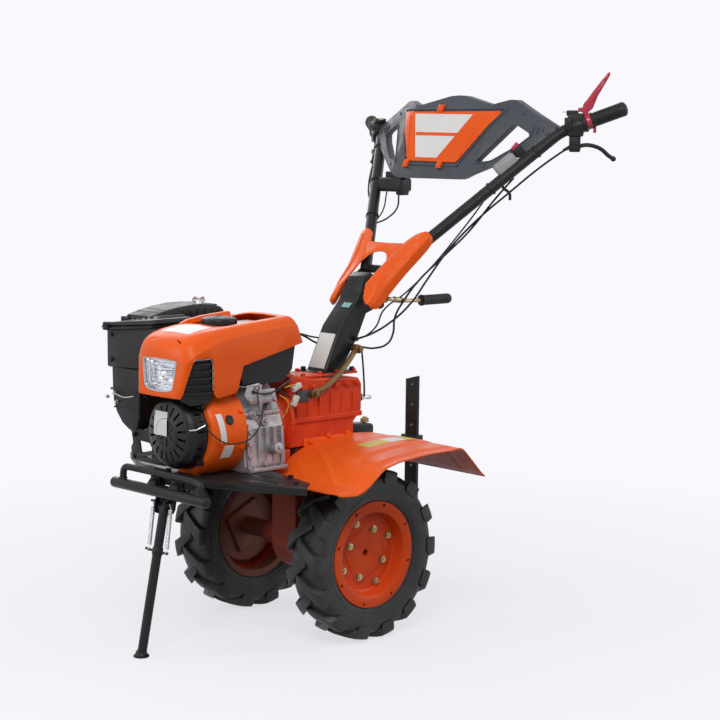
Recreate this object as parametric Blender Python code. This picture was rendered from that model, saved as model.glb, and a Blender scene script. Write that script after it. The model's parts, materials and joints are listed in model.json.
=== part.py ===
"""Two-wheel power weeder, parked on its front stand.

X is forward, Y is to the machine's left and Z is up, in metres. Every shape is written in the axle
frame: the wheels turn on the Y line at X = 0, Z = AXLE_Z, and the ground is Z = -LIFT. The root
empty moves the whole machine so that its origin is the middle of the machine's box, on the ground.
"""

import math

import bmesh
import bpy
from mathutils import Matrix, Vector

# Fits
GAP = 0.0003          # between pieces that touch
RUN = 0.006           # between pieces that move past each other
SIDES = 20            # of a common round bar

# Wheels
AXLE_Z = 0.230            # the axle's height in this drawing
WHEEL_RADIUS = 0.230
LIFT = WHEEL_RADIUS - AXLE_Z
TRACK = 0.468
TYRE_WIDTH = 0.114
LUG_COUNT = 14             # on each side of a tyre
WHEEL_SIDES = 2 * LUG_COUNT
LUG_HEIGHT = 0.016
LUG_PROUD = 0.0015         # of the sidewall, at the lug's outer end
TYRE_BORE = 0.1275
RIM_FLANGE = 0.142
RIM_WIDTH = 0.087
RIM_WALL = 0.003
RING_RADIUS = 0.1165      # of the flat flange's inner edge, where the dish starts
DISC_RADIUS = 0.103
DISC_IN = 0.006           # of the dish's floor, out from the wheel's middle plane
HUB_RADIUS = 0.026
HUB_PLATE = 0.118
HUB_TURN = 26.0           # of the square hub plate
BORE_RADIUS = 0.0095
BORE_DEPTH = 0.012
AXLE_RADIUS = 0.0125
SHAFT_SEAT = 0.030         # of the half shaft inside its housing
SHAFT_FIT = 0.0006

# Gear case
CASE_WIDTH = 0.124
CASE_FRONT = 0.112
CASE_REAR = -0.160
HITCH_FACE = -0.130        # the case's rear below its waist, where the hitch bolts on
CASE_FLOOR = 0.500
CASE_TOP = 0.685
LEG_WIDTH = 0.100
LEG_FLOOR = 0.150
LEG_DEPTH = 0.150
HOUSING_RADIUS = 0.036
HOUSING_REACH = 0.134
RIB_WIDTH = 0.006
RIB_RISE = 0.004
CASE_RIBS = (-0.128, -0.086, -0.044, -0.002, 0.040, 0.082)
LEG_RIBS = (-0.050, -0.022, 0.016, 0.044)

# Engine
CRANK_Z = 0.572
ENGINE_FLOOR = 0.461
BELL_LENGTH = 0.052
BELL_RADIUS = 0.088
BLOCK_LENGTH = 0.142
BLOCK_HALF = 0.100
BLOCK_TOP = 0.690
BLOWER_RADIUS = 0.118
BLOWER_DEPTH = 0.112
STARTER_RADIUS = 0.096
STARTER_DEPTH = 0.062
STARTER_SLOTS = 12
CYLINDER_LEAN = 25.0
FIN_COUNT = 7
FIN_PITCH = 0.0115
FIN_THICK = 0.004
CYLINDER_START = 0.122     # of the cylinder's deck, from the crank
BARREL_HALF = 0.054

# Hood and tank
HOOD_REAR = 0.098
HOOD_FRONT = 0.510
HOOD_TOP_REAR = 0.860
HOOD_TOP_FRONT = 0.829
HOOD_CREST_Z = 0.806
HOOD_HALF_REAR = 0.100
HOOD_HALF_FRONT = 0.115
CHEEK_SHARE = 0.437        # of the hood's width, where the black cheeks stop
HOOD_CREASES = (-CHEEK_SHARE, -0.36, -0.24, -0.12, 0.0, 0.12, 0.24, 0.36, CHEEK_SHARE)
NOSE_START = 0.440
NOSE_END = 0.500
NOSE_HEIGHT = 0.130
NOSE_NARROWS = 0.030
NOSE_BOW = 0.036
NOSE_BOW_LOSS = 0.022
VENT_REAR = 0.396
VENT_FRONT = 0.468
VENT_TOP = 0.774
VENT_LOW_X = 0.506
VENT_LOW_Z = 0.676
LAMP_BACK = 0.4713
LAMP_HALF = 0.070
LAMP_LOW = 0.690
LAMP_TOP = 0.768
WELL_FLOOR = 0.841         # of the well round the fuel cap
CAP_X = 0.305
CAP_RADIUS = 0.041

# Front frame, bumper and stand
RAIL_WIDTH = 0.036
RAIL_Y = CASE_WIDTH / 2 - RAIL_WIDTH / 2
RAIL_FRONT = 0.484
RAIL_HEIGHT = 0.024
DECK_THICK = 0.005
BUMPER_X = 0.503
BUMPER_Z = 0.423
BUMPER_HALF = 0.196
BUMPER_RADIUS = 0.0145
STAND_X = 0.487
STAND_Z = 0.379
STAND_FOOT_X = 0.562
STAND_RADIUS = 0.0125
FOOT_RADIUS = 0.021
FOOT_THICK = 0.006
EAR_GAP = 0.034
SPRING_Y = 0.036
SPRING_RADIUS = 0.0062
SPRING_TOP_Z = 0.392
SPRING_LOW_Z = 0.268

# Fenders
FENDER_INNER = CASE_WIDTH / 2 + GAP
FENDER_OUTER = 0.400
FENDER_WALL = 0.003

# Handle column and handlebar
COLUMN_HALF = 0.0375
COLUMN_FOOT_X = -0.040
PIVOT_X = -0.222
PIVOT_Z = 0.925
PIVOT_BOLT = 0.009
BAR_RADIUS = 0.0165
BAR_SIDES = 16
GRIP_RADIUS = BAR_RADIUS + 0.004
GRIP_LENGTH = 0.105
CLAMP_RADIUS = BAR_RADIUS + 0.0075
CLAMP_LENGTH = 0.053
COLLAR_LENGTH = 0.0155     # of the lever's collar, between the left clamp and its grip
GRIP_CAP = 0.010            # of the grip past the end of its bar
COVER_WALL = 0.003
DASH_BREAK = 0.160
CABLE_RADIUS = 0.0032

# Depth bar
DRAG_X = -0.426
DRAG_WIDTH = 0.046
DRAG_THICK = 0.010
DRAG_TOP = 0.650
DRAG_FLOOR = 0.170
DRAG_PITCH = 0.0595

# Points that several pieces share. The bars end at 1, the left, and at -1, the right and lower.
AXLE = Vector((0, 0, AXLE_Z))
PIVOT = Vector((PIVOT_X, 0, PIVOT_Z))
STAND_PIVOT = Vector((STAND_X, 0, STAND_Z))
FORK_LOW = Vector((-0.270, 0.042, 0.954))
FORK_BEND = {1: Vector((-0.642, 0.354, 1.355)), -1: Vector((-0.622, -0.337, 1.333))}
GRIP_END = {1: Vector((-0.757, 0.497, 1.424)), -1: Vector((-0.725, -0.490, 1.387))}
FRONT_REACH = STAND_FOOT_X + FOOT_RADIUS
REAR_REACH = -0.776
MIDDLE_X = (FRONT_REACH + REAR_REACH) / 2


# ---------------------------------------------------------------- materials

def material(name, colour, roughness, metallic=0.0):
    made = bpy.data.materials.new(name)
    made.use_nodes = True
    shader = made.node_tree.nodes["Principled BSDF"]
    shader.inputs["Base Color"].default_value = (*colour, 1.0)
    shader.inputs["Roughness"].default_value = roughness
    shader.inputs["Metallic"].default_value = metallic
    made.diffuse_color = (*colour, 1.0)
    return made


# ---------------------------------------------------------------- solids, as bmesh

def closed(bm):
    bmesh.ops.remove_doubles(bm, verts=bm.verts, dist=1e-6)
    bmesh.ops.recalc_face_normals(bm, faces=bm.faces)
    return bm


def rounded(bm, width, segments=2, angle=30.0):
    """Bevels the outer edges that are sharper than the angle."""
    if width <= 0:
        return bm
    sharp = [e for e in bm.edges
             if e.is_convex and e.calc_face_angle() > math.radians(angle)]
    bmesh.ops.bevel(bm, geom=sharp, offset=width, segments=segments, profile=0.5,
                    affect="EDGES", clamp_overlap=True)
    return closed(bm)


def box(low, high, bevel=0.0, segments=2):
    bm = bmesh.new()
    size = [b - a for a, b in zip(low, high)]
    middle = [(a + b) / 2 for a, b in zip(low, high)]
    bmesh.ops.create_cube(bm, size=1.0)
    bmesh.ops.scale(bm, vec=size, verts=bm.verts)
    bmesh.ops.translate(bm, vec=middle, verts=bm.verts)
    return rounded(closed(bm), bevel, segments)


PLANES = {"X": (1, 2, 0), "Y": (0, 2, 1), "Z": (0, 1, 2)}


def prism(outline, axis, low, high, bevel=0.0, segments=2, angle=30.0):
    """An outline in the plane across the axis, run from low to high along it."""
    across, up, along = PLANES[axis]
    bm = bmesh.new()
    ends = []
    for level in (low, high):
        ring = []
        for point in outline:
            place = [0.0, 0.0, 0.0]
            place[across], place[up], place[along] = point[0], point[1], level
            ring.append(bm.verts.new(place))
        ends.append(ring)
    bm.faces.new(ends[0])
    bm.faces.new(ends[1])
    for i in range(len(outline)):
        j = (i + 1) % len(outline)
        bm.faces.new((ends[0][i], ends[0][j], ends[1][j], ends[1][i]))
    return rounded(closed(bm), bevel, segments, angle)


def lofted(rings):
    """A skin through rings of the same number of points, with its two ends closed."""
    bm = bmesh.new()
    made = [[bm.verts.new(p) for p in ring] for ring in rings]
    for lower, upper in zip(made, made[1:]):
        for i in range(len(lower)):
            j = (i + 1) % len(lower)
            bm.faces.new((lower[i], lower[j], upper[j], upper[i]))
    bm.faces.new(made[0])
    bm.faces.new(made[-1])
    return closed(bm)


def turned(profile, centre, axis, sides=28):
    """A (radius, along) profile turned about an axis; a profile off the axis makes a ring."""
    across, up, along = PLANES[axis]
    bm = bmesh.new()
    rings = []
    for radius, height in profile:
        ring = []
        for k in range(sides if radius > 0 else 1):
            turn = math.tau * k / sides
            place = [0.0, 0.0, 0.0]
            place[across] = centre[across] + radius * math.cos(turn)
            place[up] = centre[up] + radius * math.sin(turn)
            place[along] = centre[along] + height
            ring.append(bm.verts.new(place))
        rings.append(ring)
    on_axis = profile[0][0] == 0
    pairs = list(zip(rings, rings[1:]))
    if not on_axis:
        pairs.append((rings[-1], rings[0]))
    for lower, upper in pairs:
        for k in range(sides):
            n = (k + 1) % sides
            corners = [lower[k % len(lower)], lower[n % len(lower)],
                       upper[n % len(upper)], upper[k % len(upper)]]
            distinct = list(dict.fromkeys(corners))
            if len(distinct) > 2:
                bm.faces.new(distinct)
    return closed(bm)


def side_axes(direction):
    helper = Vector((0, 0, 1)) if abs(direction.z) < 0.9 else Vector((1, 0, 0))
    first = direction.cross(helper).normalized()
    return first, first.cross(direction).normalized()


def rod(start, end, radius, sides=SIDES, end_radius=None):
    """A round bar, or a cone, between two points."""
    start, end = Vector(start), Vector(end)
    first, second = side_axes((end - start).normalized())
    rings = []
    for place, size in ((start, radius), (end, radius if end_radius is None else end_radius)):
        turns = [math.tau * k / sides for k in range(sides)]
        rings.append([place + size * (math.cos(t) * first + math.sin(t) * second) for t in turns])
    return lofted(rings)


def tube(points, radius, sides=10):
    """A round bar swept along points, without twist."""
    points = [Vector(p) for p in points]
    directions = []
    for i in range(len(points)):
        before, after = points[max(i - 1, 0)], points[min(i + 1, len(points) - 1)]
        directions.append((after - before).normalized())
    first, second = side_axes(directions[0])
    rings = []
    for place, direction in zip(points, directions):
        first = (first - direction * first.dot(direction)).normalized()
        second = direction.cross(first)
        turns = [math.tau * k / sides for k in range(sides)]
        rings.append([place + radius * (math.cos(t) * first + math.sin(t) * second)
                      for t in turns])
    return lofted(rings)


def bent(points, radius, steps=3):
    """The points with each inner corner rounded to a bend."""
    points = [Vector(p) for p in points]
    path = [points[0]]
    for before, corner, after in zip(points, points[1:], points[2:]):
        to_before, to_after = (before - corner), (after - corner)
        reach = min(radius, to_before.length * 0.45, to_after.length * 0.45)
        start = corner + to_before.normalized() * reach
        end = corner + to_after.normalized() * reach
        for k in range(steps + 1):
            t = k / steps
            path.append(start * (1 - t) ** 2 + corner * 2 * t * (1 - t) + end * t * t)
    path.append(points[-1])
    return path


def smooth_path(points, steps=4):
    """A Catmull-Rom curve through the points."""
    points = [Vector(p) for p in points]
    padded = [points[0] * 2 - points[1]] + points + [points[-1] * 2 - points[-2]]
    path = []
    for a, b, c, d in zip(padded, padded[1:], padded[2:], padded[3:]):
        for k in range(steps):
            t = k / steps
            path.append(0.5 * (2 * b + (c - a) * t + (2 * a - 5 * b + 4 * c - d) * t * t
                               + (3 * b - a - 3 * c + d) * t ** 3))
    path.append(points[-1])
    return path


def moved(bm, matrix):
    bmesh.ops.transform(bm, matrix=matrix, verts=bm.verts)
    return bm


# ---------------------------------------------------------------- objects

class Body:
    """An empty on a joint's axis; the pieces of one moving body hang under it."""

    def __init__(self, name, seat, root=None):
        self.seat = Vector(seat)
        self.empty = bpy.data.objects.new(name, None)
        bpy.context.scene.collection.objects.link(self.empty)
        self.empty.location = self.seat if root is None else self.seat - root.seat
        if root is not None:
            self.empty.parent = root.empty


def mesh_object(name, bm, body):
    bmesh.ops.translate(bm, vec=-body.seat, verts=bm.verts)
    mesh = bpy.data.meshes.new(name)
    bm.to_mesh(mesh)
    bm.free()
    made = bpy.data.objects.new(name, mesh)
    bpy.context.scene.collection.objects.link(made)
    made.parent = body.empty
    return made


def piece(name, body, finish, solids, cuts=(), smooth=35.0):
    """One sub-part: its solids are united and its cuts taken out."""
    made = mesh_object(name, solids[0], body)
    made.data.materials.append(finish)
    made.data.shade_smooth()
    made.data.set_sharp_from_angle(angle=math.radians(smooth))
    helpers = [("UNION", bm) for bm in solids[1:]] + [("DIFFERENCE", bm) for bm in cuts]
    for number, (operation, bm) in enumerate(helpers):
        helper = mesh_object(f"{name}_helper_{number}", bm, body)
        helper.hide_render = True
        helper.display_type = "WIRE"
        boolean = made.modifiers.new(f"{operation.lower()}_{number}", "BOOLEAN")
        boolean.operation = operation
        boolean.solver = "EXACT"
        boolean.object = helper
    return made


# ---------------------------------------------------------------- wheels

def tread_lugs(centre):
    """Slanted bars in two rows, half a pitch apart, from past the middle line to the shoulders."""
    half = TYRE_WIDTH / 2
    root = WHEEL_RADIUS - LUG_HEIGHT * 2
    # across the tread, where the bar starts and ends along it, and how far its top drops
    stations = [(-0.10 * half, -0.011, 0.012, 0.0), (0.45 * half, 0.010, 0.036, 0.0003),
                (0.90 * half, 0.026, 0.062, 0.0012), (half, 0.030, 0.066, LUG_HEIGHT)]
    solids = bmesh.new()
    for lean in (1, -1):
        for k in range(LUG_COUNT):
            start = math.tau * (k + (0.5 if lean < 0 else 0.0)) / LUG_COUNT
            rings = []
            for across, first, last, drop in stations:
                ring = []
                for along, radius in ((first, root), (first, WHEEL_RADIUS - drop),
                                      (last, WHEEL_RADIUS - drop), (last, root)):
                    turn = start + along / WHEEL_RADIUS
                    ring.append(solids.verts.new((centre[0] - radius * math.sin(turn),
                                                  centre[1] + lean * across,
                                                  centre[2] - radius * math.cos(turn))))
                rings.append(ring)
            for one, other in zip(rings, rings[1:]):
                for a, b in ((0, 1), (1, 2), (2, 3), (3, 0)):
                    solids.faces.new((one[a], one[b], other[b], other[a]))
            solids.faces.new(rings[0])
            solids.faces.new(rings[-1])
    return closed(solids)


def tyre(body, finish, side, name):
    half = TYRE_WIDTH / 2 - LUG_PROUD
    crown = WHEEL_RADIUS - LUG_HEIGHT
    bead = RIM_WIDTH / 2 - RIM_WALL - GAP
    wall = [(TYRE_BORE, bead), (RIM_FLANGE + 0.002, bead), (RIM_FLANGE + 0.012, half * 0.93),
            (crown - 0.036, half), (crown - 0.010, half * 0.94), (crown, half * 0.66)]
    profile = [(radius, -along) for radius, along in wall] + wall[::-1]
    centre = (0, side * TRACK / 2, AXLE_Z)
    piece(name, body, finish, [turned(profile, centre, "Y", WHEEL_SIDES), tread_lugs(centre)])


def rim(body, finish, side, name):
    half = RIM_WIDTH / 2
    seat = TYRE_BORE - GAP
    lip = half - RIM_WALL
    inside = seat - RIM_WALL
    profile = [(seat, -lip), (RIM_FLANGE - 0.001, -lip), (RIM_FLANGE, -half + RIM_WALL / 2),
               (RIM_FLANGE - 0.001, -half), (inside, -half), (inside, lip), (RING_RADIUS, lip),
               (DISC_RADIUS, DISC_IN), (BORE_RADIUS, DISC_IN), (BORE_RADIUS, DISC_IN + RIM_WALL),
               (DISC_RADIUS + 0.002, DISC_IN + RIM_WALL), (RING_RADIUS + 0.003, half),
               (RIM_FLANGE - 0.001, half), (RIM_FLANGE, half - RIM_WALL / 2),
               (RIM_FLANGE - 0.001, lip), (seat, lip)]
    turn_profile = [(radius, side * along) for radius, along in profile]
    piece(name, body, finish, [turned(turn_profile, (0, side * TRACK / 2, AXLE_Z), "Y", WHEEL_SIDES)])


def hub(body, finish, side, name):
    """The driven hub: a barrel on the half shaft, with a square plate that carries the rim."""
    centre = (0, side * TRACK / 2, AXLE_Z)
    plate_out = DISC_IN - GAP
    plate_in = plate_out - 0.008
    inner = HOUSING_REACH + RUN - TRACK / 2
    shaft_in = inner - RUN - SHAFT_SEAT
    half = HUB_PLATE / 2
    profile = [(0, shaft_in), (AXLE_RADIUS, shaft_in), (AXLE_RADIUS, inner),
               (HUB_RADIUS, inner), (HUB_RADIUS, plate_out), (0, plate_out)]
    barrel = turned([(radius, side * along) for radius, along in profile], centre, "Y", SIDES)
    ends = sorted((centre[1] + side * plate_in, centre[1] + side * plate_out))
    plate = box((-half, ends[0], AXLE_Z - half), (half, ends[1], AXLE_Z + half), 0.004)
    around = Matrix.Translation(AXLE)
    moved(plate, around @ Matrix.Rotation(math.radians(HUB_TURN), 4, "Y") @ around.inverted())
    outer = centre[1] + side * plate_out
    bore = rod((0, outer - side * BORE_DEPTH, AXLE_Z), (0, outer + side * 0.01, AXLE_Z),
               BORE_RADIUS)
    piece(name, body, finish, [barrel, plate], [bore])


# ---------------------------------------------------------------- gear case

def gearbox_case(body, finish):
    outline = [(CASE_FRONT, CASE_FLOOR), (CASE_FRONT, CASE_TOP + 0.012), (0.080, CASE_TOP + 0.010),
               (0.040, CASE_TOP), (CASE_REAR + 0.012, CASE_TOP - 0.012),
               (CASE_REAR, CASE_TOP - 0.030), (CASE_REAR, CASE_FLOOR + 0.080),
               (HITCH_FACE, CASE_FLOOR + 0.050), (HITCH_FACE, CASE_FLOOR)]
    half = CASE_WIDTH / 2
    shell = prism(outline, "Y", -half, half, 0.006)
    ledge = box((CASE_REAR + 0.004, -half - 0.006, CASE_FLOOR + 0.066),
                (CASE_FRONT - 0.006, half + 0.006, CASE_FLOOR + 0.080), 0.002)
    ribs = [box((x, -half - RIB_RISE, CASE_FLOOR + 0.078),
                (x + RIB_WIDTH, half + RIB_RISE, CASE_TOP - 0.050)) for x in CASE_RIBS]
    piece("gearbox_case", body, finish, [shell, ledge] + ribs)


def axle_case(body, finish):
    """The drop case between the wheels, with the stub housings that carry the half shafts."""
    depth, half = LEG_DEPTH / 2, LEG_WIDTH / 2
    outline = [(-depth, CASE_FLOOR - GAP), (-depth, AXLE_Z)]
    for k in range(1, 10):
        turn = math.pi * (1 + k / 10)
        outline.append((depth * math.cos(turn),
                        AXLE_Z + (AXLE_Z - LEG_FLOOR) * math.sin(turn)))
    outline += [(depth, AXLE_Z), (depth, CASE_FLOOR - GAP)]
    leg = prism(outline, "Y", -half, half, 0.006, angle=40.0)
    tubes = rod((0, -HOUSING_REACH, AXLE_Z), (0, HOUSING_REACH, AXLE_Z), HOUSING_RADIUS)
    ribs = [box((x, -half - RIB_RISE, AXLE_Z + 0.025), (x + RIB_WIDTH, half + RIB_RISE, 0.420))
            for x in LEG_RIBS]
    bores = []
    for side in (1, -1):
        ends = (side * (HOUSING_REACH - SHAFT_SEAT - 0.002), side * (HOUSING_REACH + 0.01))
        bores.append(rod((0, ends[0], AXLE_Z), (0, ends[1], AXLE_Z),
                         AXLE_RADIUS + SHAFT_FIT))
    piece("axle_case", body, finish, [leg, tubes] + ribs, bores)


def clutch_housing(body, finish):
    low = CASE_FRONT + GAP
    profile = [(0, low), (BELL_RADIUS, low), (BELL_RADIUS, low + 0.012),
               (BELL_RADIUS - 0.012, low + 0.016), (BELL_RADIUS - 0.012, low + BELL_LENGTH - 0.016),
               (BELL_RADIUS, low + BELL_LENGTH - 0.012), (BELL_RADIUS, low + BELL_LENGTH),
               (0, low + BELL_LENGTH)]
    piece("clutch_housing", body, finish, [turned(profile, (0, 0, CRANK_Z), "X", 32)])


BLOCK_REAR = CASE_FRONT + BELL_LENGTH + 2 * GAP
BLOCK_FRONT = BLOCK_REAR + BLOCK_LENGTH
BLOWER_FRONT = BLOCK_FRONT + GAP + BLOWER_DEPTH


# ---------------------------------------------------------------- engine

def leaned(y, z):
    """A place drawn for an upright case, turned about the crank to the cylinder's lean."""
    turn = -math.radians(CYLINDER_LEAN)
    return (y * math.cos(turn) - z * math.sin(turn), CRANK_Z + y * math.sin(turn) + z * math.cos(turn))


def crankcase(body, finish):
    outline = [(-BLOCK_HALF, ENGINE_FLOOR), (BLOCK_HALF + 0.004, ENGINE_FLOOR),
               (BLOCK_HALF + 0.010, ENGINE_FLOOR + 0.018), (BLOCK_HALF, ENGINE_FLOOR + 0.110),
               (BLOCK_HALF - 0.030, ENGINE_FLOOR + 0.180), (0.030, BLOCK_TOP), (-0.060, BLOCK_TOP),
               leaned(-CYLINDER_START, BARREL_HALF + 0.010),
               leaned(-CYLINDER_START, -BARREL_HALF - 0.006)]
    block = prism(outline, "X", BLOCK_REAR, BLOCK_FRONT, 0.004)
    feet = box((BLOCK_REAR + 0.006, -BLOCK_HALF - 0.006, ENGINE_FLOOR),
               (BLOCK_FRONT - 0.006, BLOCK_HALF + 0.016, ENGINE_FLOOR + 0.010), 0.002)
    joint = box((BLOCK_FRONT - 0.016, -BLOCK_HALF + 0.010, ENGINE_FLOOR + 0.004),
                (BLOCK_FRONT - 0.008, BLOCK_HALF + 0.014, ENGINE_FLOOR + 0.120), 0.002)
    ribs = [box((BLOCK_REAR + 0.016 + 0.026 * k, 0.060, ENGINE_FLOOR + 0.004),
                (BLOCK_REAR + 0.020 + 0.026 * k, BLOCK_HALF + 0.011, ENGINE_FLOOR + 0.114))
            for k in range(4)]
    filler = rod((BLOCK_REAR + 0.045, BLOCK_HALF - 0.010, ENGINE_FLOOR + 0.052),
                 (BLOCK_REAR + 0.045, BLOCK_HALF + 0.026, ENGINE_FLOOR + 0.060), 0.013, 12)
    piece("crankcase", body, finish, [block, feet, joint, filler] + ribs)


def cylinder_parts(body, barrel_finish, cover_finish):
    """The finned cylinder leans to the machine's right, with its cover at the end."""
    near = CYLINDER_START + GAP
    core = BARREL_HALF - 0.018
    lower = [(-near, -core)]
    for k in range(FIN_COUNT):
        fin = near + (k + 0.5) * FIN_PITCH
        lower += [(-fin, -core), (-fin, -BARREL_HALF),
                  (-fin - FIN_THICK, -BARREL_HALF), (-fin - FIN_THICK, -core)]
    far = near + FIN_COUNT * FIN_PITCH + 0.006
    lower.append((-far, -core))
    upper = [(y, -z) for y, z in reversed(lower)]
    middle = (BLOCK_REAR + BLOCK_FRONT) / 2
    outline = [leaned(y, z) for y, z in lower + upper]
    piece("cylinder", body, barrel_finish,
          [prism(outline, "X", middle - BARREL_HALF, middle + BARREL_HALF)])
    cover = [leaned(y, z) for y, z in ((-far - GAP, -0.046), (-far - 0.022, -0.046),
                                       (-far - 0.028, -0.038), (-far - 0.028, 0.038),
                                       (-far - 0.022, 0.046), (-far - GAP, 0.046))]
    piece("valve_cover", body, cover_finish,
          [prism(cover, "X", middle - 0.045, middle + 0.045, 0.003)])


def blower_housing(body, finish):
    low = BLOCK_FRONT + GAP
    profile = [(0, low), (BLOWER_RADIUS, low), (BLOWER_RADIUS, low + BLOWER_DEPTH - 0.018),
               (BLOWER_RADIUS - 0.006, low + BLOWER_DEPTH - 0.006),
               (BLOWER_RADIUS - 0.018, low + BLOWER_DEPTH), (0, low + BLOWER_DEPTH)]
    drum = turned(profile, (0, 0, CRANK_Z), "X", 40)
    below = box((low - 0.01, -0.2, 0.3), (low + BLOWER_DEPTH + 0.01, 0.2, ENGINE_FLOOR))
    piece("blower_housing", body, finish, [drum], [below])


def turned_about_crank(bm, degrees):
    """Carries a solid drawn above the origin round the crank's line."""
    place = Matrix.Translation((0, 0, CRANK_Z))
    return moved(bm, place @ Matrix.Rotation(math.radians(degrees), 4, "X"))


def recoil_starter(body, finish):
    low = BLOWER_FRONT + GAP
    profile = [(0, low), (STARTER_RADIUS, low), (STARTER_RADIUS, low + STARTER_DEPTH * 0.55),
               (STARTER_RADIUS - 0.014, low + STARTER_DEPTH * 0.85),
               (STARTER_RADIUS - 0.040, low + STARTER_DEPTH), (0, low + STARTER_DEPTH)]
    slots = []
    for k in range(STARTER_SLOTS):
        slot = box((low + STARTER_DEPTH - 0.018, -0.004, STARTER_RADIUS - 0.048),
                   (low + STARTER_DEPTH + 0.01, 0.004, STARTER_RADIUS - 0.018))
        slots.append(turned_about_crank(slot, 360.0 * (k + 0.5) / STARTER_SLOTS))
    drum = turned(profile, (0, 0, CRANK_Z), "X", 32)
    piece("recoil_starter", body, finish, [drum], slots)


def ramp(value, low, high):
    return min(1.0, max(0.0, (value - low) / (high - low)))


def hood_place(point):
    """From a hood drawn one metre wide to its plan: tapered, with a bowed nose."""
    share = (point.x - HOOD_REAR) / (HOOD_FRONT - HOOD_REAR)
    fall = ramp(HOOD_CREST_Z - point.z, 0.0, NOSE_HEIGHT)
    nose = ramp(point.x, NOSE_START, NOSE_END)
    half = HOOD_HALF_REAR + share * (HOOD_HALF_FRONT - HOOD_HALF_REAR)
    half += nose * (HOOD_HALF_FRONT - NOSE_NARROWS * fall - half)
    bow = (NOSE_BOW - NOSE_BOW_LOSS * fall) * abs(2 * point.y) ** 2.2 * nose
    return Vector((point.x - bow, point.y * 2 * half, point.z))


def hood_plan(bm):
    outer = max(vertex.co.y for vertex in bm.verts)
    for level in [crease for crease in HOOD_CREASES if abs(crease) < outer - 0.001]:
        bmesh.ops.bisect_plane(bm, geom=bm.verts[:] + bm.edges[:] + bm.faces[:],
                               plane_co=(0, level, 0), plane_no=(0, 1, 0), dist=1e-6)
    for vertex in bm.verts:
        vertex.co = hood_place(vertex.co)
    return closed(bm)


def engine_hood(body, finish):
    outline = [(HOOD_REAR, 0.789), (0.312, 0.742), (0.332, 0.683), (VENT_REAR - 0.003, 0.670),
               (VENT_REAR, VENT_TOP), (VENT_FRONT, VENT_TOP), (VENT_LOW_X, VENT_LOW_Z),
               (0.513, 0.672), (0.501, HOOD_CREST_Z), (0.448, HOOD_TOP_FRONT),
               (0.118, HOOD_TOP_REAR), (HOOD_REAR + 0.002, HOOD_TOP_REAR - 0.010)]
    shell = hood_plan(prism(outline, "Y", -0.5, 0.5))
    rounded(shell, 0.006, 2, 25.0)
    well = box((0.150, -0.062, WELL_FLOOR), (0.404, 0.062, 0.900), 0.006)
    lamp = box((LAMP_BACK - 0.012, -LAMP_HALF, LAMP_LOW), (0.530, LAMP_HALF, LAMP_TOP), 0.003)
    hollow = box((0.300, -0.098, 0.600), (VENT_FRONT, 0.098, 0.750))
    piece("engine_hood", body, finish, [shell], [well, lamp, hollow])


def hood_vents(body, finish):
    """The black cheeks and cowl in the hood's notch, round the lamp's back and the blower."""
    outline = [(VENT_REAR + GAP, 0.645), (VENT_REAR + GAP, VENT_TOP - GAP),
               (VENT_FRONT - 3 * GAP, VENT_TOP - GAP), (VENT_LOW_X - 3 * GAP, VENT_LOW_Z),
               (VENT_LOW_X - 3 * GAP, 0.645)]
    solid = hood_plan(prism(outline, "Y", -CHEEK_SHARE, CHEEK_SHARE))
    bmesh.ops.triangulate(solid, faces=solid.faces[:])
    slots = []
    for k in range(4):
        z = 0.690 + 0.020 * k
        for lean in (-1, 1):
            ends = sorted((lean * 0.084, lean * 0.130))
            slots.append(box((0.400, ends[0], z), (0.446, ends[1], z + 0.006)))
    lamp = box((LAMP_BACK - 0.001, -LAMP_HALF - 0.001, LAMP_LOW - 0.001),
               (0.560, LAMP_HALF + 0.001, 0.800))
    drum = rod((0.3, 0, CRANK_Z), (0.6, 0, CRANK_Z), BLOWER_RADIUS + 0.004, 40)
    piece("hood_vents", body, finish, [solid], slots + [lamp, drum])


def headlight(body, finish):
    half, low, high = LAMP_HALF - GAP, LAMP_LOW + GAP, LAMP_TOP - GAP
    outline = [(LAMP_BACK, -half), (LAMP_BACK, half), (0.490, half), (0.499, 0.045),
               (0.503, 0.015), (0.503, -0.015), (0.499, -0.045), (0.490, -half)]
    piece("headlight", body, finish, [prism(outline, "Z", low, high, 0.004)])


def fuel_tank(body, finish):
    """The tank under the hood, on the crankcase."""
    outline = [(HOOD_REAR + 0.020, 0.7820), (HOOD_REAR + 0.030, BLOCK_TOP + GAP + 0.030),
               (0.160, BLOCK_TOP + GAP), (0.300, BLOCK_TOP + GAP), (0.3095, 0.7418)]
    piece("fuel_tank", body, finish, [prism(outline, "Y", -0.090, 0.090, 0.0)])


def fuel_cap(body, finish):
    low = WELL_FLOOR + GAP
    profile = [(0, low), (CAP_RADIUS, low), (CAP_RADIUS, low + 0.020),
               (CAP_RADIUS - 0.006, low + 0.026), (0, low + 0.026)]
    piece("fuel_cap", body, finish, [turned(profile, (CAP_X, 0, 0), "Z", 24)])


# ---------------------------------------------------------------- intake and exhaust

CLEANER_REAR = 0.292
CLEANER_FRONT = 0.418
LID_SEAT = 0.812           # of the lid's edge at its outer end
LID_RISE = 0.022           # of that edge from there to the hood


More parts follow.
